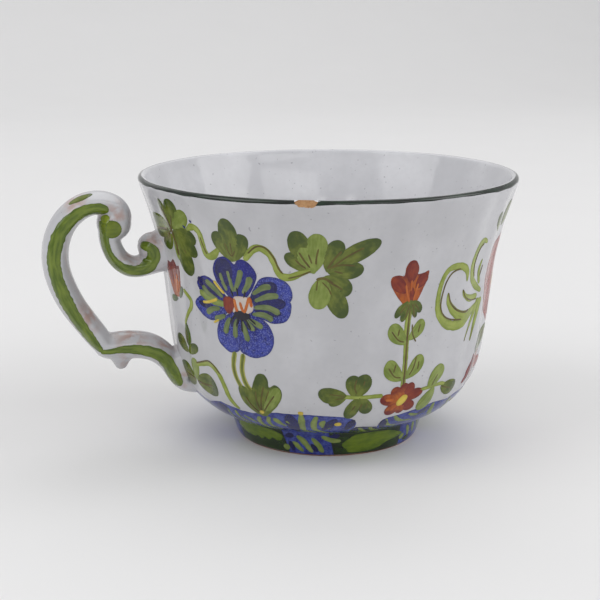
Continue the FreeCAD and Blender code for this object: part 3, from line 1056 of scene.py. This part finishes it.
def lower_left_leaves(shift=0):
    """The leaves at the lower left, under the left tulip."""
    paint = painted("leaves_lower_left", shift)
    lobes(paint, (
        ((-57, 33.8), (-56.4, 27.6), 3.6, SEPAL),
        ((-58, 26), (-66.5, 28.8), 3.8, LEAF),
        ((-58, 26), (-51, 28.2), 2.8, LEAF),
        ((-56, 19.4), (-68.5, 19.6), 6.8, LEAF),
        ((-55.5, 18.8), (-43.2, 18.6), 6.4, LEAF),
        ((-55.5, 19), (-54, 25), 3.6, LEAF_LIGHT),
    ))
    strokes(paint, (
        (0.6, [(-65, 19.4), (-60, 19.2), (-56.5, 19.2)]),
        (0.6, [(-46.5, 18.8), (-51, 18.6), (-55, 19)]),
        (0.6, [(-57.5, 31.5), (-57, 28.8)]),
    ), VEIN)
    paint.done()


def left_tulip(shift=0):
    """The rust-red tulip at the left edge of the front."""
    paint = painted("tulip_left", shift)
    paint.fill([
        (-63, 39.2), (-59.6, 39.8), (-58.2, 42.4), (-57.4, 45.6), (-57.4, 47.6), (-59.6, 47.2),
        (-61.8, 48.6), (-64.4, 47.6), (-67, 47.6), (-68.4, 45.2), (-66.6, 42), (-65, 39.8),
    ], RUST, toward=((-62, 39.4), (-62.4, 48.2)))
    lobes(paint, (
        ((-64, 42), (-66.8, 47), 2.6, RUST_DEEP),
        ((-62, 43.6), (-61.8, 48), 2.4, RUST_DEEP),
        ((-59.6, 43.4), (-57.8, 47.2), 1.4, RUST_DEEP),
        ((-60, 39.2), (-56.6, 42.4), 1.8, SEPAL),
        ((-62, 38.8), (-67, 38.4), 1.8, SEPAL),
    ), 1)
    strokes(paint, (
        (1, [(-61.8, 40.4), (-61, 43), (-60.6, 45)]),
        (0.6, [(-59.6, 40.8), (-58.8, 43.4)]),
    ), ORANGE, 2)
    paint.done()


def right_tulip(shift=0):
    """The rust-red tulip on its tall stem, right of the pansy."""
    paint = painted("tulip", shift)
    paint.stroke([(27, 41.5), (26.6, 35), (26.9, 28), (27, 21)], [1.8, 1.6, 1.5, 1.5], TENDRIL)
    paint.stroke([(27.2, 41), (26.9, 35), (27, 28), (27.1, 21.5)], 0.55, VEIN, 1)
    paint.fill([
        (25, 41.6), (22, 44.2), (20, 47), (20.2, 48.6), (22.2, 49), (24.2, 48.8), (24.4, 50.6),
        (25.6, 52.2), (27.8, 52.2), (29, 50.6), (29, 49), (31.4, 49), (33.2, 49.4), (32.8, 47), (31, 44),
        (29, 41.6), (27, 41),
    ], RUST, toward=((27, 41), (27, 52.4)))
    lobes(paint, (
        ((25.2, 44.6), (20.6, 48.4), 3.2, RUST_DEEP),
        ((28.8, 45.4), (32.6, 48.8), 2.8, RUST_DEEP),
        ((26.8, 46.8), (26.9, 52), 3.4, RUST_DEEP),
        ((27.6, 42), (27.5, 45.8), 1.3, RUST_DEEP),
        ((27, 42.8), (22, 38.8), 1.8, LEAF, -0.3),
        ((27.2, 42.8), (24.2, 37.8), 1.8, LEAF),
        ((27.4, 42.8), (29.6, 38.4), 1.6, LEAF),
        ((27.4, 42.6), (31.6, 39.6), 2.2, LEAF, 0.3),
        ((26.6, 32.2), (21, 37.2), 4, LEAF_LIGHT, 0.5),
        ((27.6, 33), (33, 37.6), 3.2, LEAF_LIGHT, -0.4),
        ((26.6, 23.2), (20.4, 28.2), 4.2, LEAF_LIGHT, 0.7),
        ((27.6, 23.4), (33.8, 28.8), 3.8, LEAF_LIGHT, -0.4),
    ), 1)
    strokes(paint, (
        (0.35, [(25.8, 32.8), (23.6, 33.4), (21.2, 35.6)]), (0.35, [(23.4, 34.4), (23.8, 36)]),
        (0.35, [(28.6, 36.8), (29, 34.4), (30.6, 32.4)]), (0.35, [(31.2, 34.6), (31.8, 36.6)]),
        (0.35, [(25.6, 24), (23.2, 24.4), (21, 26.6)]), (0.35, [(22.8, 25.4), (23.4, 27.4)]),
        (0.35, [(29, 24.2), (30.6, 26), (31.4, 28.6)]), (0.35, [(32.4, 25.4), (32.6, 27.4)]),
        (0.4, [(26.2, 42), (23.4, 39.8)]), (0.4, [(26.8, 42), (25.6, 38.6)]),
        (0.4, [(28, 42), (29.2, 38.4)]), (0.4, [(28.6, 42), (31, 40)]),
    ), VEIN, 2)
    strokes(paint, (
        (0.5, [(25, 46.6), (25.8, 44.2), (26.6, 42.4)]), (0.5, [(29.6, 46.6), (28.8, 44.4), (28.2, 42.6)]),
        (0.5, [(27, 47.6), (27, 45)]),
    ), ORANGE, 2)
    paint.done()


def rosette(shift=0):
    """The five-petalled flower low on the right, on its twig, with leaves each side."""
    paint = painted("rosette_sprig", shift, lift=0.09)
    strokes(paint, (
        (1.1, [(5, 20), (11, 19.7), (20, 19.6)]),
        (1, [(33.6, 19.3), (37, 20), (45, 20.1), (48, 19.4)]),
    ), TENDRIL, 0)
    lobes(paint, (
        ((27.5, 17.8), (19.2, 18.6), 3.4, RUST),
        ((27.5, 17.8), (23.4, 21.4), 3.2, RUST),
        ((27.5, 17.8), (28, 22.4), 3, RUST),
        ((27.5, 17.8), (31.6, 22), 3.2, RUST_DEEP),
        ((27.5, 17.8), (36, 19.6), 3, RUST_DEEP),
        ((27.5, 17.6), (33.8, 15), 3.4, RUST_DEEP),
        ((27.5, 17.6), (28.6, 14), 3, RUST),
        ((27.5, 17.6), (22.4, 14.2), 3.6, RUST),
        ((6.8, 20.2), (-3, 21), 4.2, LEAF, 0.4),
        ((6.8, 19.8), (0.6, 18), 2.6, LEAF),
        ((9.6, 19.8), (8.6, 25.4), 4, LEAF),
        ((10, 19.8), (13.8, 25.4), 4.4, LEAF),
        ((11, 19.8), (7.4, 13.8), 3.6, LEAF),
        ((11, 19.8), (15.6, 15.2), 3.8, LEAF),
        ((38, 19.8), (44.6, 25), 4.6, LEAF_LIGHT, 0.3),
        ((45.6, 19.2), (54.4, 17.8), 4.4, LEAF),
        ((41.4, 19.8), (37.2, 13.8), 4.8, LEAF_LIGHT),
    ))
    strokes(paint, (
        (0.35, [(10, 24.4), (9.4, 22.4), (10.2, 20.8)]), (0.35, [(12.4, 22.8), (12.8, 24)]),
        (0.35, [(9, 16.2), (10, 17.6)]), (0.35, [(11.6, 16.4), (12.4, 18)]),
        (0.3, [(14, 16.6), (14.4, 18)]),
        (0.4, [(0.6, 20.8), (3.6, 20.4), (6.4, 20.1)]), (0.35, [(2.6, 19.2), (6, 19.8)]),
        (0.35, [(42, 23), (40.6, 21.6), (39.6, 20.4)]), (0.35, [(51.6, 18), (48.8, 18.6), (46.2, 19.2)]),
    ), VEIN)
    strokes(paint, ((0.9, [(21.2, 18.4), (24.4, 18.2)]), (0.7, [(24, 15.4), (26, 16.8)])), ORANGE)
    paint.lobe((25.8, 16.7), (29.6, 19), 2.5, YELLOW, 2, full=0.5)
    paint.done()


def curls(shift=0):
    """The scrolled tendrils at the right edge of the front, with the stalks that run down from them."""
    paint = painted("curled_tendrils", shift, lift=0.06)
    paint.stroke([
        (51.6, 44.8), (51.2, 47), (49, 48.6), (45.4, 49.2), (41.6, 48.8), (39.4, 46.8), (38.2, 43.4),
        (38.2, 39.8), (40, 37.2), (43.4, 35.3), (47.6, 34.4), (52, 34.6), (57, 36.2), (62, 38.6),
    ], [0.6, 1.4, 1.8, 1.8, 1.5, 1.4, 1.4, 1.6, 2, 2.3, 2.4, 2.2, 1.6, 1], TENDRIL)
    paint.stroke([
        (61.2, 53.2), (58.8, 54), (56.2, 53.2), (54.4, 51), (53.8, 48), (55.2, 45), (58.6, 42.8),
        (63, 41),
    ], [0.6, 1.6, 1.9, 1.7, 1.7, 1.9, 1.8, 1], TENDRIL)
    paint.stroke([
        (42.6, 43), (43.4, 40.6), (46.6, 38), (51, 36.4), (56.4, 36.6), (61.4, 38.2),
    ], [0.5, 1.5, 2.2, 2.5, 2, 1.2], TENDRIL)
    paint.stroke([(50, 43), (51.4, 41.4), (55.2, 40.2), (60.6, 40.2)], [0.5, 1.2, 1.8, 1.4], TENDRIL)
    paint.stroke([(60.6, 49.2), (59.6, 46.4), (61, 43)], [0.5, 1.3, 1], TENDRIL)
    paint.stroke([(62, 39.4), (58.6, 34.4), (54.8, 29.6)], [1.6, 1.2, 0.4], TENDRIL)
    paint.stroke([(63.6, 39.4), (61.6, 34.4), (59.8, 28.8)], [1.6, 1.5, 0.6], TENDRIL)
    strokes(paint, (
        (0.4, [
            (47.4, 48.4), (43.6, 47.8), (40.8, 45.4), (39.4, 40.6), (41.2, 37.8), (45.4, 36.2),
            (50.8, 35.6),
        ]),
        (0.3, [(59, 53.2), (56.6, 51.8), (55.2, 48.4), (56.4, 45.4)]),
        (0.45, [(42.8, 43), (44.4, 40.4), (48, 38.2), (52.4, 37.2), (55, 37.4)]),
        (0.35, [(50, 43), (52, 40.8), (56.4, 39.6), (60.4, 39.4)]),
        (0.3, [(61.6, 47.6), (60.6, 44.8)]),
        (0.35, [(57.6, 33), (54.8, 29.4)]), (0.35, [(61, 32.4), (59.8, 28.8)]),
    ), VEIN, 1)
    paint.done()


def side_flower(shift=0):
    """The large rose-red flower beyond the curls, with its leaves and a small red bloom under it."""
    paint = painted("side_flower", shift)
    paint.fill([
        (72.6, 52), (69.4, 49.4), (66.6, 45.6), (66.4, 41), (69, 36.4), (74, 33.2), (78.4, 31),
        (84, 31.4), (88, 34.4), (93, 36.4), (95.4, 41), (93.6, 46), (89.6, 48.4), (86.4, 52.4),
        (79.4, 53.6),
    ], PINK, toward=((81, 42), (66, 44)))
    lobes(paint, (
        ((80, 42), (68.6, 47.4), 5.4, PINK),
        ((80, 42), (68.4, 38), 5, PINK),
        ((81, 42), (78.6, 52.4), 6.4, PINK),
        ((82, 42), (92.4, 46.6), 5.6, PINK),
        ((82, 42), (91, 36.4), 5.4, PINK),
        ((81, 41), (80, 32.4), 5.4, PINK),
    ), 1)
    lobes(paint, (
        ((70, 55), (65, 60), 3.4, LEAF),
        ((73, 56), (77, 62), 4, LEAF),
        ((78, 30.4), (66.4, 25), 4.4, LEAF, 0.4),
        ((80, 30), (91, 24.6), 5, LEAF),
        ((69, 20.6), (72, 25.8), 2.8, PINK),
        ((69, 20.4), (77, 21.6), 3.2, PINK),
        ((69, 20), (70.4, 15.6), 2.6, RUST_DEEP),
    ))
    stalk = [(65.8, 24.6), (65.6, 22.4), (64, 20.6), (63, 18.8), (61.2, 17.4)]
    paint.stroke(stalk, [1, 2.4, 2.8, 2, 0.9], RUST_PINK)
    paint.lobe((77.6, 40.6), (83.6, 43), 3.4, YELLOW, 2, full=0.5)
    strokes(paint, ((0.6, [(76.6, 29.4), (70, 26.4)]), (0.6, [(82, 29), (88, 26)])), VEIN)
    paint.done()


def hills(shift=0, more=False):
    """The blue mounds round the bottom of the wall, with leafy commas over them. more adds the last two."""
    unit = 0.58  # millimetres to a degree, low on the wall
    paint = painted("blue_hills", shift, lift=0.045, unit=unit)
    floor = 7.3
    paint.fill([
        (-63, floor), (-63.4, 11), (-64, 14.2), (-60, 13.2), (-55, 13.2), (-50, 14), (-45, 14.8),
        (-40, 14.2), (-35, 13.6), (-30, 13.5), (-25, 14.1), (-19, 14.8), (-12, 14.8), (-6, 14.8),
        (0, 14.6), (6, 14.2), (10, 13.4), (11.8, 12.2), (11.8, 10.6), (10.6, 9), (11, floor),
        (-25, floor),
    ], HILL_BLUE, sharp=True)
    paint.fill([
        (10, floor), (10.4, 9.4), (12.4, 10.5), (16, 10.4), (22.4, 9.8), (25, floor),
    ], INDIGO, sharp=True)
    paint.fill([
        (24, floor), (22.4, 9.6), (22, 11), (22.8, 12.4), (25, 13), (30, 13.4), (35, 14), (40, 14.7),
        (45, 14.9), (50, 14.8), (55, 14.4), (62, 15.2), (72, 15.4), (80, 13.4), (84, 10.6), (84, floor),
        (45, floor),
    ], HILL_BLUE, sharp=True)
    if more:
        paint.fill([
            (-96.6, floor), (-95, 11), (-90, 14), (-82, 15.4), (-74, 15.6), (-68, 15), (-63, 13.8),
            (-62, floor), (-80, floor),
        ], HILL_BLUE, sharp=True)
        paint.fill([
            (-131, floor), (-129, 11.4), (-122, 14), (-112, 14.8), (-104, 14.2), (-98, 11.8),
            (-96, floor), (-114, floor),
        ], HILL_BLUE, sharp=True)
    lobes(paint, (
        ((-13.6, 8), (-14.4, 14.6), 3.2, INDIGO),
        ((-52.4, 10.4), (-43.6, 13.8), 2.8, INDIGO),
        ((-49.6, 10), (-46, 14.2), 2.4, INDIGO),
        ((-2, 9.4), (3.6, 13.6), 2.4, INDIGO),
        ((8.2, 9.6), (10.4, 13.2), 2, INDIGO),
        ((25.8, 8.8), (23.2, 12.4), 2, INDIGO),
        ((38, 11.4), (44, 13.8), 2.4, INDIGO),
        ((66, 11.4), (74, 13.8), 2.4, INDIGO),
    ), 1)
    strokes(paint, (
        ([0.9, 1.6, 1.6, 1.3, 0.8], [(-9.6, 15), (-9.8, 13), (-10.2, 10.6), (-9.6, 9), (-5, 8.2)]),
        ([0.9, 1.5, 1.5, 1.2, 0.7], [(-3.8, 14.5), (-5.2, 12), (-5, 9.8), (-2, 8.7), (3, 8)]),
        ([0.8, 1.5, 1.4, 0.8], [(-0.8, 13.2), (-1.9, 12), (-0.6, 10.6), (1.6, 10.2)]),
        ([1.2, 1.8, 1.2, 0.6], [(-20.6, 13), (-20.2, 12), (-18.6, 11), (-16.8, 10.6)]),
        ([0.7, 0.9, 0.6], [(-16.2, 12.7), (-15.6, 11.9), (-15, 11.3)]),
        ([0.8, 1.2, 1, 0.6], [(-23, 13.2), (-24.4, 11.4), (-24, 9.8), (-20.4, 8.8)]),
        ([0.8, 1.4, 1.2, 0.7], [(-27.4, 12.8), (-29, 11), (-28.6, 9.2), (-24, 8.2)]),
        ([0.5, 0.9, 0.8], [(-35.6, 12.2), (-33.4, 11.2), (-31.4, 10.2)]),
        ([0.7, 1, 0.9, 0.5], [(-38.6, 13.2), (-39.4, 11.6), (-38, 9.8), (-34, 8.6)]),
        ([0.5, 0.8, 0.7, 0.5], [(-43, 13.2), (-44.6, 11), (-44, 9), (-40, 8)]),
        ([0.5, 0.9, 0.7], [(-59, 12.6), (-57, 10.8), (-54, 9)]),
        ([0.8, 1.3, 1.1, 0.7], [(13.6, 10.2), (16, 9), (18.6, 7.9), (21, 7.5)]),
        ([0.8, 1.3, 1.1, 0.7], [(18.6, 10), (21.4, 8.7), (24.4, 7.9), (28, 7.5)]),
        ([0.7, 1.3, 1.1, 0.7], [(24.2, 12.6), (25.2, 11), (28.4, 9.8), (33, 9.2)]),
        ([0.7, 1.2, 1, 0.7], [(27.4, 13.2), (30.4, 11.6), (34, 10.8), (39, 10.6)]),
        ([0.6, 1.1, 0.7], [(34, 13.2), (37, 12.4), (40, 12.2)]),
        ([0.8, 1.6, 1.4, 0.7], [(45.4, 14.8), (46.6, 12.6), (49.4, 10.8), (54, 9.6)]),
        ([0.8, 1.6, 1.4, 0.7], [(57.4, 14.6), (58.6, 12.4), (61.4, 10.6), (66, 9.4)]),
        ([0.8, 1.4, 0.8], [(70, 14.8), (71.4, 12.6), (74.4, 10.8)]),
    ), OLIVE_LIGHT, 1)
    for spot, size in (((-9.7, 15.2), 1.2), ((-25.2, 14.3), 0.9), ((4.4, 11.9), 1.7), ((64, 12.4), 1.5)):
        half = size / 2 / unit
        paint.lobe((spot[0] - half, spot[1]), (spot[0] + half, spot[1]), size, YELLOW, 2, full=0.5)
    paint.done()


def foot_band(shift=0, more=False):
    """The painted band on the foot, in stretches of green and blue. more adds the last two."""
    paint = painted("foot_band", shift, lift=0.045, unit=FOOT_RADIUS * math.pi / 180)

    def low(angle):
        return 0.46 + 0.05 * math.sin(angle / 7)

    def high(angle):
        return 7.42

    stretches = [(-66, -26, DARK_GREEN), (-26, 1, HILL_BLUE), (1, 46, DARK_GREEN), (46, 84, HILL_BLUE)]
    if more:
        stretches += [(-129, -96, DARK_GREEN), (-96, -66, HILL_BLUE)]
    for first, last, finish in stretches:
        def start(height, first=first):
            return first + (7 - height) * 0.5

        def end(height, last=last):
            return last + (7 - height) * 0.5

        paint.band(start, end, low, high, finish, rows=16)
    paint.fill([
        (-64, 4.6), (-58, 6.2), (-50, 6.7), (-40, 6.6), (-32, 6.2), (-26, 5.2), (-27, 3.8), (-30, 3.4),
        (-33, 3.9), (-36, 3.1), (-39, 3.5), (-41.5, 2.8), (-45, 3.4), (-48, 2.9), (-58, 3.2),
    ], BRIGHT_GREEN, 1, toward=((-63, 4.5), (-27, 4.5)))
    paint.fill([
        (8.6, 3.4), (12, 4.8), (16, 6), (24, 6.3), (30, 6.3), (38, 5.9), (45, 4.9), (50, 3.9), (45, 3.2),
        (38, 2.6), (33, 1.6), (25, 1), (14, 1), (11.4, 2),
    ], BRIGHT_GREEN, 1, toward=((8, 3.6), (50, 3.6)))
    lobes(paint, (
        ((-24, 5.2), (-19, 5.8), 1.6, INDIGO),
        ((-19.6, 1.2), (-21.6, 3.8), 1.5, INDIGO),
        ((-9, 3.6), (-5.4, 1.4), 1.4, INDIGO),
        ((1, 5.6), (7.4, 6.2), 1.6, INDIGO),
        ((52, 1.8), (60, 1.8), 1.5, DARK_GREEN),
    ), 1)
    strokes(paint, (
        ([0.8, 1.5, 1.3, 0.7], [(-20.6, 3.7), (-18.2, 3.1), (-16, 2.1), (-13.8, 1.2)]),
        ([0.8, 1.6, 1.6, 1.4, 0.8], [(-17.2, 5.6), (-14.4, 4.7), (-12, 3.4), (-10, 2.1), (-8.2, 1.1)]),
        ([0.8, 1.5, 1.5, 0.8], [(-8.4, 5.3), (-5.6, 3.7), (-3.8, 2.3), (-1.8, 1.2)]),
        ([0.8, 1.3, 1.3, 0.8], [(-3, 5.9), (0.4, 5.1), (4, 4.6), (8.2, 4.5)]),
        ([0.6, 1.3, 0.7], [(53, 5.6), (55.6, 4.2), (57.6, 2.4)]),
        ([0.6, 1.3, 0.7], [(59, 5.8), (61.6, 4.4), (63.6, 2.4)]),
        ([0.6, 1.3, 0.7], [(66, 5.8), (69, 4.4), (71.6, 2.4)]),
    ), OLIVE_LIGHT)
    for angle, height in ((-24.2, 2), (50.4, 2.8)):
        paint.lobe((angle - 2.2, height), (angle + 2.2, height), 1.8, OLIVE_LIGHT, 1, full=0.5)
    paint.done()


def rim_line():
    """The dark line that a brush held against the turning rim left. It is broken at the chip."""
    paint = Paint("rim_line", unit=RIM_RADIUS * math.pi / 180)
    # More than the rim's millimetres to a degree, so that the paint runs right up to the rough bite.
    bite_unit = 0.96

    def around(angle, size):
        turn = math.radians(angle)
        return noise.noise(Vector((math.cos(turn), math.sin(turn), 0.3)) * size)

    def low(angle):
        return 66.25 + 0.25 * around(angle, 2.3) + 0.2 * around(angle, 11)

    def high(angle):
        return 67.16 + 0.04 * around(angle, 5)

    def chip_half(height):
        """Half the chip's angle at a height on the wall."""
        up = height - CHIP_HEIGHT - CHIP_UP
        deep = 1 - (CHIP_OUT / CHIP_RADII[0]) ** 2 - (up / CHIP_RADII[2]) ** 2
        return CHIP_RADII[1] * math.sqrt(max(0, deep)) / bite_unit

    def start(height):
        return CHIP_ANGLE + chip_half(height)

    def end(height):
        return CHIP_ANGLE + 360 - chip_half(height)

    paint.band(start, end, low, high, RIM_PAINT)
    paint.done()


# ---------------------------------------------------------------- what is painted on the handle


def on_side(handle, side):
    """Places paint on one side of the handle: side is -1 for the side to the front, and 1 for the far side.

    Paint that runs past the handle's outline is laid round its edge, which is edge from the middle plane.
    The rays start at far. Both are in metres.
    """
    edge = 0.002
    far = 0.03
    tree = BVHTree.FromObject(handle, bpy.context.evaluated_depsgraph_get())

    def place(u, height, lift):
        x = -u * side * MM
        start = Vector((x, side * far, height * MM))
        spot, normal = tree.ray_cast(start, Vector((0, -side, 0)))[:2]
        if spot is None or spot.y * side < edge:
            spot, normal = tree.find_nearest(Vector((x, side * edge, height * MM)))[:2]
        return spot / MM + normal * lift

    return place


def on_top(handle):
    """Places paint on the handle's upper face, by its distances along X and Y. The rays start at above."""
    above = 80 * MM
    tree = BVHTree.FromObject(handle, bpy.context.evaluated_depsgraph_get())

    def place(x, y, lift):
        spot, normal = tree.ray_cast(Vector((x * MM, y * MM, above)), Vector((0, 0, -1)))[:2]
        return spot / MM + normal * lift

    return place


def handle_bands(handle):
    """The green lines along both sides of the scrolls, and the dash on top."""
    bands = (
        ([1.8, 2.8, 3, 3.1] + [3.2] * 7 + [2.9, 2.5, 2, 1.4], [
            (55.6, 59.8), (57, 60.4), (59, 60.6), (61.8, 60), (64.6, 58.2), (66.9, 55.6), (68.2, 52.6),
            (68.9, 49.4), (68.8, 46.4), (67.9, 42.4), (66, 37.6), (63.6, 33), (61.2, 29.2), (59.6, 26.9),
            (58.3, 25.3),
        ]),
        ([1.2, 1.3, 1.7, 2.1, 2.5, 2.8, 3.1, 3.2, 3.2, 3, 2.6], [
            (58.6, 25.3), (56.4, 25.3), (53.9, 25.6), (51.5, 25.6), (49, 25.3), (46.5, 24.6),
            (44.1, 23.5), (42.4, 21.7), (41.1, 19.3), (40.2, 16.9), (39.7, 15),
        ]),
        ([1.9, 2.3, 2.6, 3, 3.3, 3.3, 3.3, 3.3, 3.1, 2.9, 2.5, 1.7], [
            (56.9, 57.6), (56.9, 53.8), (56.6, 51), (55.4, 48), (53.3, 45.9), (50.9, 44.9), (48.4, 45),
            (46.3, 46.2), (45.1, 48), (45.2, 49.8), (46.3, 50.9), (48, 50.8),
        ]),
    )
    for name, side in (("handle_bands_front", -1), ("handle_bands_far", 1)):
        paint = Paint(name, on_side(handle, side), 1, float, lift=0.06, fine=2.4)
        for widths, path in bands:
            paint.stroke([(distance * side, height) for distance, height in path], widths, HANDLE_GREEN)
        paint.lobe((57.4 * side, 55.6), (52.6 * side, 55.7), 4.4, HANDLE_EYE, 1, full=0.5)
        paint.lobe((57 * side, 57.2), (55.6 * side, 58.9), 1.7, HANDLE_BUD, 2, full=0.5)
        paint.done()
    dash = Paint("handle_dash", on_top(handle), 1, float, lift=0.045)
    dash.stroke([(-64.8, -2.2), (-63, -2.5), (-61, -2.6), (-59, -2.2)], [0.8, 1.9, 2.1, 1], LEAF)
    dash.done()


# ---------------------------------------------------------------- the studio


def make_floor():
    """A pale sweep that runs level under the cup and turns up behind it."""
    reach, turn, top = 3000.0, 900.0, 2600.0
    line = [(-reach, 0.0)]
    for k in range(25):
        angle = math.pi / 2 * k / 24
        line.append((turn + turn * math.sin(angle), turn - turn * math.cos(angle)))
    line.append((2 * turn, top))
    verts, faces = [], []
    for y, z in line:
        verts += [(-reach, y, z), (reach, y, z)]
    for k in range(len(line) - 1):
        a = 2 * k
        faces.append((a, a + 1, a + 3, a + 2))
    finish = Finish("floor_paper", 0.8)
    cloud = finish.noise(finish.place(), 60.0, 3.0)
    finish.colour(finish.mix(cloud, (0.79, 0.785, 0.785, 1), (0.81, 0.805, 0.805, 1)))
    new_object("floor", verts, faces, [finish.material])


def soft_light(name, bearing, height, distance, size, power):
    """A softbox that faces the cup, at a paint angle and a height in degrees.

    Its distance and its size are in metres, and its power is in watts.
    """
    data = bpy.data.lights.new(name, "AREA")
    data.shape = "RECTANGLE"
    data.size, data.size_y = size
    data.energy = power
    lamp = bpy.data.objects.new(name, data)
    turn = math.radians(bearing + FRONT)
    tilt = math.radians(height)
    level = math.cos(tilt)
    lamp.location = Vector((level * math.cos(turn), level * math.sin(turn), math.sin(tilt))) * distance
    middle = Vector((0, 0, 35 * MM))
    lamp.rotation_euler = (middle - lamp.location).to_track_quat("-Z", "Y").to_euler()
    bpy.context.collection.objects.link(lamp)


def make_studio():
    """Even light all round, and seven softboxes."""
    world = bpy.data.worlds.new("studio")
    world.use_nodes = True
    background = world.node_tree.nodes["Background"]
    background.inputs["Color"].default_value = (0.985, 0.99, 1.0, 1)
    background.inputs["Strength"].default_value = 0.62
    bpy.context.scene.world = world
    soft_light("left", -65, 42, 1.2, (0.8, 0.8), 3.4)
    soft_light("right", 85, 35, 1.1, (0.7, 0.7), 3.0)
    soft_light("behind", 175, 55, 1.4, (1.0, 1.0), 3.0)
    soft_light("behind_left", -140, 35, 1.3, (0.8, 0.8), 0.7)
    soft_light("window", 30, 34, 1.3, (0.9, 0.34), 1.5)
    soft_light("lamp_right", 5, 26, 1.3, (0.14, 0.06), 0.12)
    soft_light("lamp_left", -18, 26, 1.3, (0.16, 0.06), 0.12)
    bpy.context.scene.view_settings.view_transform = "Standard"


def make_camera():
    """The camera, in front and a little to the left, looking down 13 degrees. Its place is in metres."""
    data = bpy.data.cameras.new("camera")
    data.lens = 81.0
    data.sensor_width = 36.0
    data.clip_start = 0.01
    data.clip_end = 20.0
    camera = bpy.data.objects.new("camera", data)
    camera.location = (-0.08729, -0.32576, 0.11321)
    camera.rotation_euler = (math.radians(90 - 13.215), 0, math.radians(-13.807))
    bpy.context.collection.objects.link(camera)
    bpy.context.scene.camera = camera


make_camera()
make_studio()
make_floor()
make_bowl()
make_foot()
handle_bands(make_handle())
rim_line()
BOUQUET = (
    upper_left_leaves, tendrils, top_leaves, pansy, stems_and_leaf, lower_left_leaves, left_tulip,
    right_tulip, rosette, curls, side_flower,
)
# The same bouquet stands on the front and on the back.
for shift in (0, 172):
    for motif in BOUQUET:
        motif(shift)
hills(more=True)
hills(145)
foot_band(more=True)
foot_band(147)
